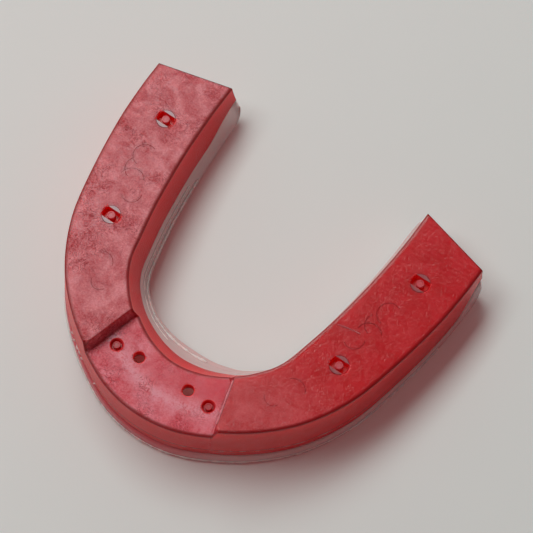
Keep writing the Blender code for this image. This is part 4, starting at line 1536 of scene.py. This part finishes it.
@dataclass
class Studio:
    """Pale floor, one large soft window light, a weak fill and the camera."""

    plate: PlateFrame
    camera_place: tuple[float, float, float] = (81.64, -105.1, 346.7)
    azimuth: float = 35.14
    elevation: float = 68.56
    lens: float = 162.1
    window_way: tuple[float, float, float] = (-0.45, 0.17, 0.87)
    window_half_angles: tuple[float, float] = (27.0, 11.0)
    window_distance: float = 1.2
    window_radiance: float = 5.7
    window_colour: str = "#FFFDFA"
    red_share: float = 0.5
    red_colour: str = "#FF0000"
    surround_radiance: float = 0.34
    surround_colour: str = "#F2F0EF"
    surround_way: tuple[float, float, float] = (-0.55, 0.75, 0.0)
    surround_level: float = 0.33
    surround_least: float = 0.12
    floor_reach: float = 1.2
    floor_colour: str = "#C1E2E0"
    floor_cloudy: str = "#C3E4E2"
    floor_cloud_mm: float = 14.0
    floor_roughness: float = 0.6
    sensor_width: float = 36.0

    def build(self) -> None:
        """Build the studio."""
        self.floor()
        self.lights()
        self.camera()
        scene = bpy.context.scene
        scene.view_settings.view_transform = "Standard"

    def floor(self) -> None:
        """Add the pale floor."""
        mesh = bpy.data.meshes.new("studio_floor")
        reach = self.floor_reach
        mesh.from_pydata([(-reach, -reach, 0.0), (reach, -reach, 0.0), (reach, reach, 0.0),
                          (-reach, reach, 0.0)], [], [(0, 1, 2, 3)])
        item = bpy.data.objects.new("studio_floor", mesh)
        bpy.context.scene.collection.objects.link(item)
        material, tree, shader = new_material("pale_laminate")
        place = add_node(tree, "ShaderNodeTexCoord").outputs["Object"]
        cloud = add_node(tree, "ShaderNodeTexNoise", {
            "Vector": place, "Scale": per_mm(self.floor_cloud_mm), "Detail": 3.0}).outputs["Fac"]
        tone = add_node(tree, "ShaderNodeMix", {
            0: cloud, 6: linear(self.floor_colour), 7: linear(self.floor_cloudy)}, data_type="RGBA")
        tree.links.new(tone.outputs[2], shader.inputs["Base Color"])
        shader.inputs["Roughness"].default_value = self.floor_roughness
        mesh.materials.append(material)

    def area_light(self, name: str, radiance: float, colour: str) -> bpy.types.Object:
        """Add an area light the size of the window, facing the guard.

        Args:
            name: name of the light.
            radiance: brightness of its face.
            colour: its colour as sRGB hex.

        Returns:
            The linked light.
        """
        back = Vector(self.window_way).normalized()
        along = Vector((0.0, 1.0, 0.0))
        along = (along - back * along.dot(back)).normalized()
        data = bpy.data.lights.new(name, "AREA")
        data.shape = "RECTANGLE"
        data.size, data.size_y = (2.0 * self.window_distance * math.tan(math.radians(half))
                                  for half in self.window_half_angles)
        data.energy = radiance * math.pi * data.size * data.size_y
        data.color = linear(colour)[:3]
        item = bpy.data.objects.new(name, data)
        axes = Matrix((along, back.cross(along), back)).transposed()
        item.matrix_world = Matrix.Translation(back * self.window_distance) @ axes.to_4x4()
        bpy.context.scene.collection.objects.link(item)
        return item

    def pass_guard(self, light: bpy.types.Object) -> None:
        """Let a light reach the floor only, and through the guard: the red that translucent walls pass."""
        lit = bpy.data.collections.new("lit_by_" + light.name)
        lit.objects.link(bpy.data.objects["studio_floor"])
        light.light_linking.receiver_collection = lit
        light.light_linking.blocker_collection = lit

    def lights(self) -> None:
        """Add the wide window light and a pale surround that is brighter at the left and the front."""
        self.area_light("window", self.window_radiance, self.window_colour)
        through = self.area_light("light_through_the_guard", self.window_radiance * self.red_share,
                                  self.red_colour)
        self.pass_guard(through)
        world = bpy.data.worlds.new("surround")
        bpy.context.scene.world = world
        world.use_nodes = True
        tree = world.node_tree
        tree.nodes.clear()
        way = add_node(tree, "ShaderNodeTexCoord").outputs["Generated"]
        slope = add_node(tree, "ShaderNodeVectorMath", {0: way, 1: self.surround_way},
                         operation="DOT_PRODUCT").outputs["Value"]
        strength = add_node(tree, "ShaderNodeMath", {
            0: slope, 1: self.surround_radiance, 2: self.surround_level * self.surround_radiance},
            operation="MULTIPLY_ADD")
        positive = add_node(tree, "ShaderNodeMath", {
            0: strength.outputs[0], 1: self.surround_least}, operation="MAXIMUM")
        background = add_node(tree, "ShaderNodeBackground", {
            "Color": linear(self.surround_colour), "Strength": positive.outputs[0]})
        add_node(tree, "ShaderNodeOutputWorld", {"Surface": background.outputs[0]})

    def camera(self) -> None:
        """Add the camera, looking steeply down from the front right."""
        data = bpy.data.cameras.new("view")
        data.lens = self.lens
        data.sensor_width = self.sensor_width
        data.clip_start = 0.01
        item = bpy.data.objects.new("view", data)
        turn, rise = math.radians(self.azimuth), math.radians(self.elevation)
        right = np.array((math.cos(turn), math.sin(turn), 0.0))
        back = np.array((math.sin(turn) * math.cos(rise), -math.cos(turn) * math.cos(rise),
                         math.sin(rise)))
        up = np.cross(back, right)
        axes = self.plate.turn() @ np.column_stack((right, up, back))
        item.rotation_mode = "QUATERNION"
        item.rotation_quaternion = Matrix(axes.tolist()).to_quaternion()
        item.location = Vector(self.plate.to_world(np.array(self.camera_place)))
        bpy.context.scene.collection.objects.link(item)
        bpy.context.scene.camera = item


# Plain and cloudy colour of each small part's plastic; the pale tones of the flats, the ridges and the step
# bead are painted sheen and highlights.
SMALL_PLASTICS = {
    "moulded_pink_stud": ("#C23440", "#E0808A"),
    "moulded_deep_stud": ("#A81C28", "#C04450"),
    "flat_painted_sheen": ("#B4202A", "#DC969C"),
    "ridge_painted_highlight": ("#F0D2CE", "#FBEFEC"),
    "step_edge_painted_highlight": ("#E87884", "#F4A4AC"),
    "scuffed_red_elastomer": ("#D85058", "#E4747A")}


def show(piece: bpy.types.Object, slot: str, nodes: list[str] | None = None) -> None:
    """Let a piece ride the guard's body, hide the CAD nodes it stands for, and report it.

    Args:
        piece: the finished piece.
        slot: the record's material slot; not used.
        nodes: CAD nodes that it replaces.
    """
    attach(piece, BODY)
    if nodes:
        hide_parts(*nodes)
    LOG.info("%s: %d faces", piece.name, len(piece.data.polygons))


def main() -> None:
    """Build every piece and report it."""
    logging.basicConfig(level=logging.INFO, format="%(name)s: %(message)s")
    plate = PlateFrame()
    arch = Arch()
    red = MouldedElastomer().build()
    pocket = PocketSkin().build()
    clear = ClearEva().build()
    small = {name: StudPlastic(name, *colours).build() for name, colours in SMALL_PLASTICS.items()}

    shell_shape = OuterShell(arch, plate)
    show(shell_shape.build(red, pocket), "red_shell", ["outer_shell"])
    show(FittingLiner(arch, plate).build(clear), "clear_liner", ["fitting_liner"])

    studs = LockingStuds(shell_shape, plate)
    show(studs.pocket_studs(small["moulded_pink_stud"]), "pink_stud",
         ["pocket_stud_front_left", "pocket_stud_front_right",
          "pocket_stud_rear_left", "pocket_stud_rear_right"])
    show(studs.front_studs(small["moulded_deep_stud"]), "pink_stud",
         ["front_stud_left", "front_stud_right"])
    show(ToolMarks(shell_shape, plate).build(red), "red_shell")
    show(PocketFaces(shell_shape, plate).build(small["flat_painted_sheen"]), "red_shell")

    flash = PartingFlash(arch, shell_shape, plate)
    show(flash.build(clear), "clear_liner")
    for piece in flash.rim_ridges(small["ridge_painted_highlight"]):
        show(piece, "clear_liner")
    show(flash.step_highlight(small["step_edge_painted_highlight"]), "red_shell")
    show(flash.scratch(small["scuffed_red_elastomer"]), "red_shell")

    Studio(plate).build()


if __name__ == "__main__":
    main()
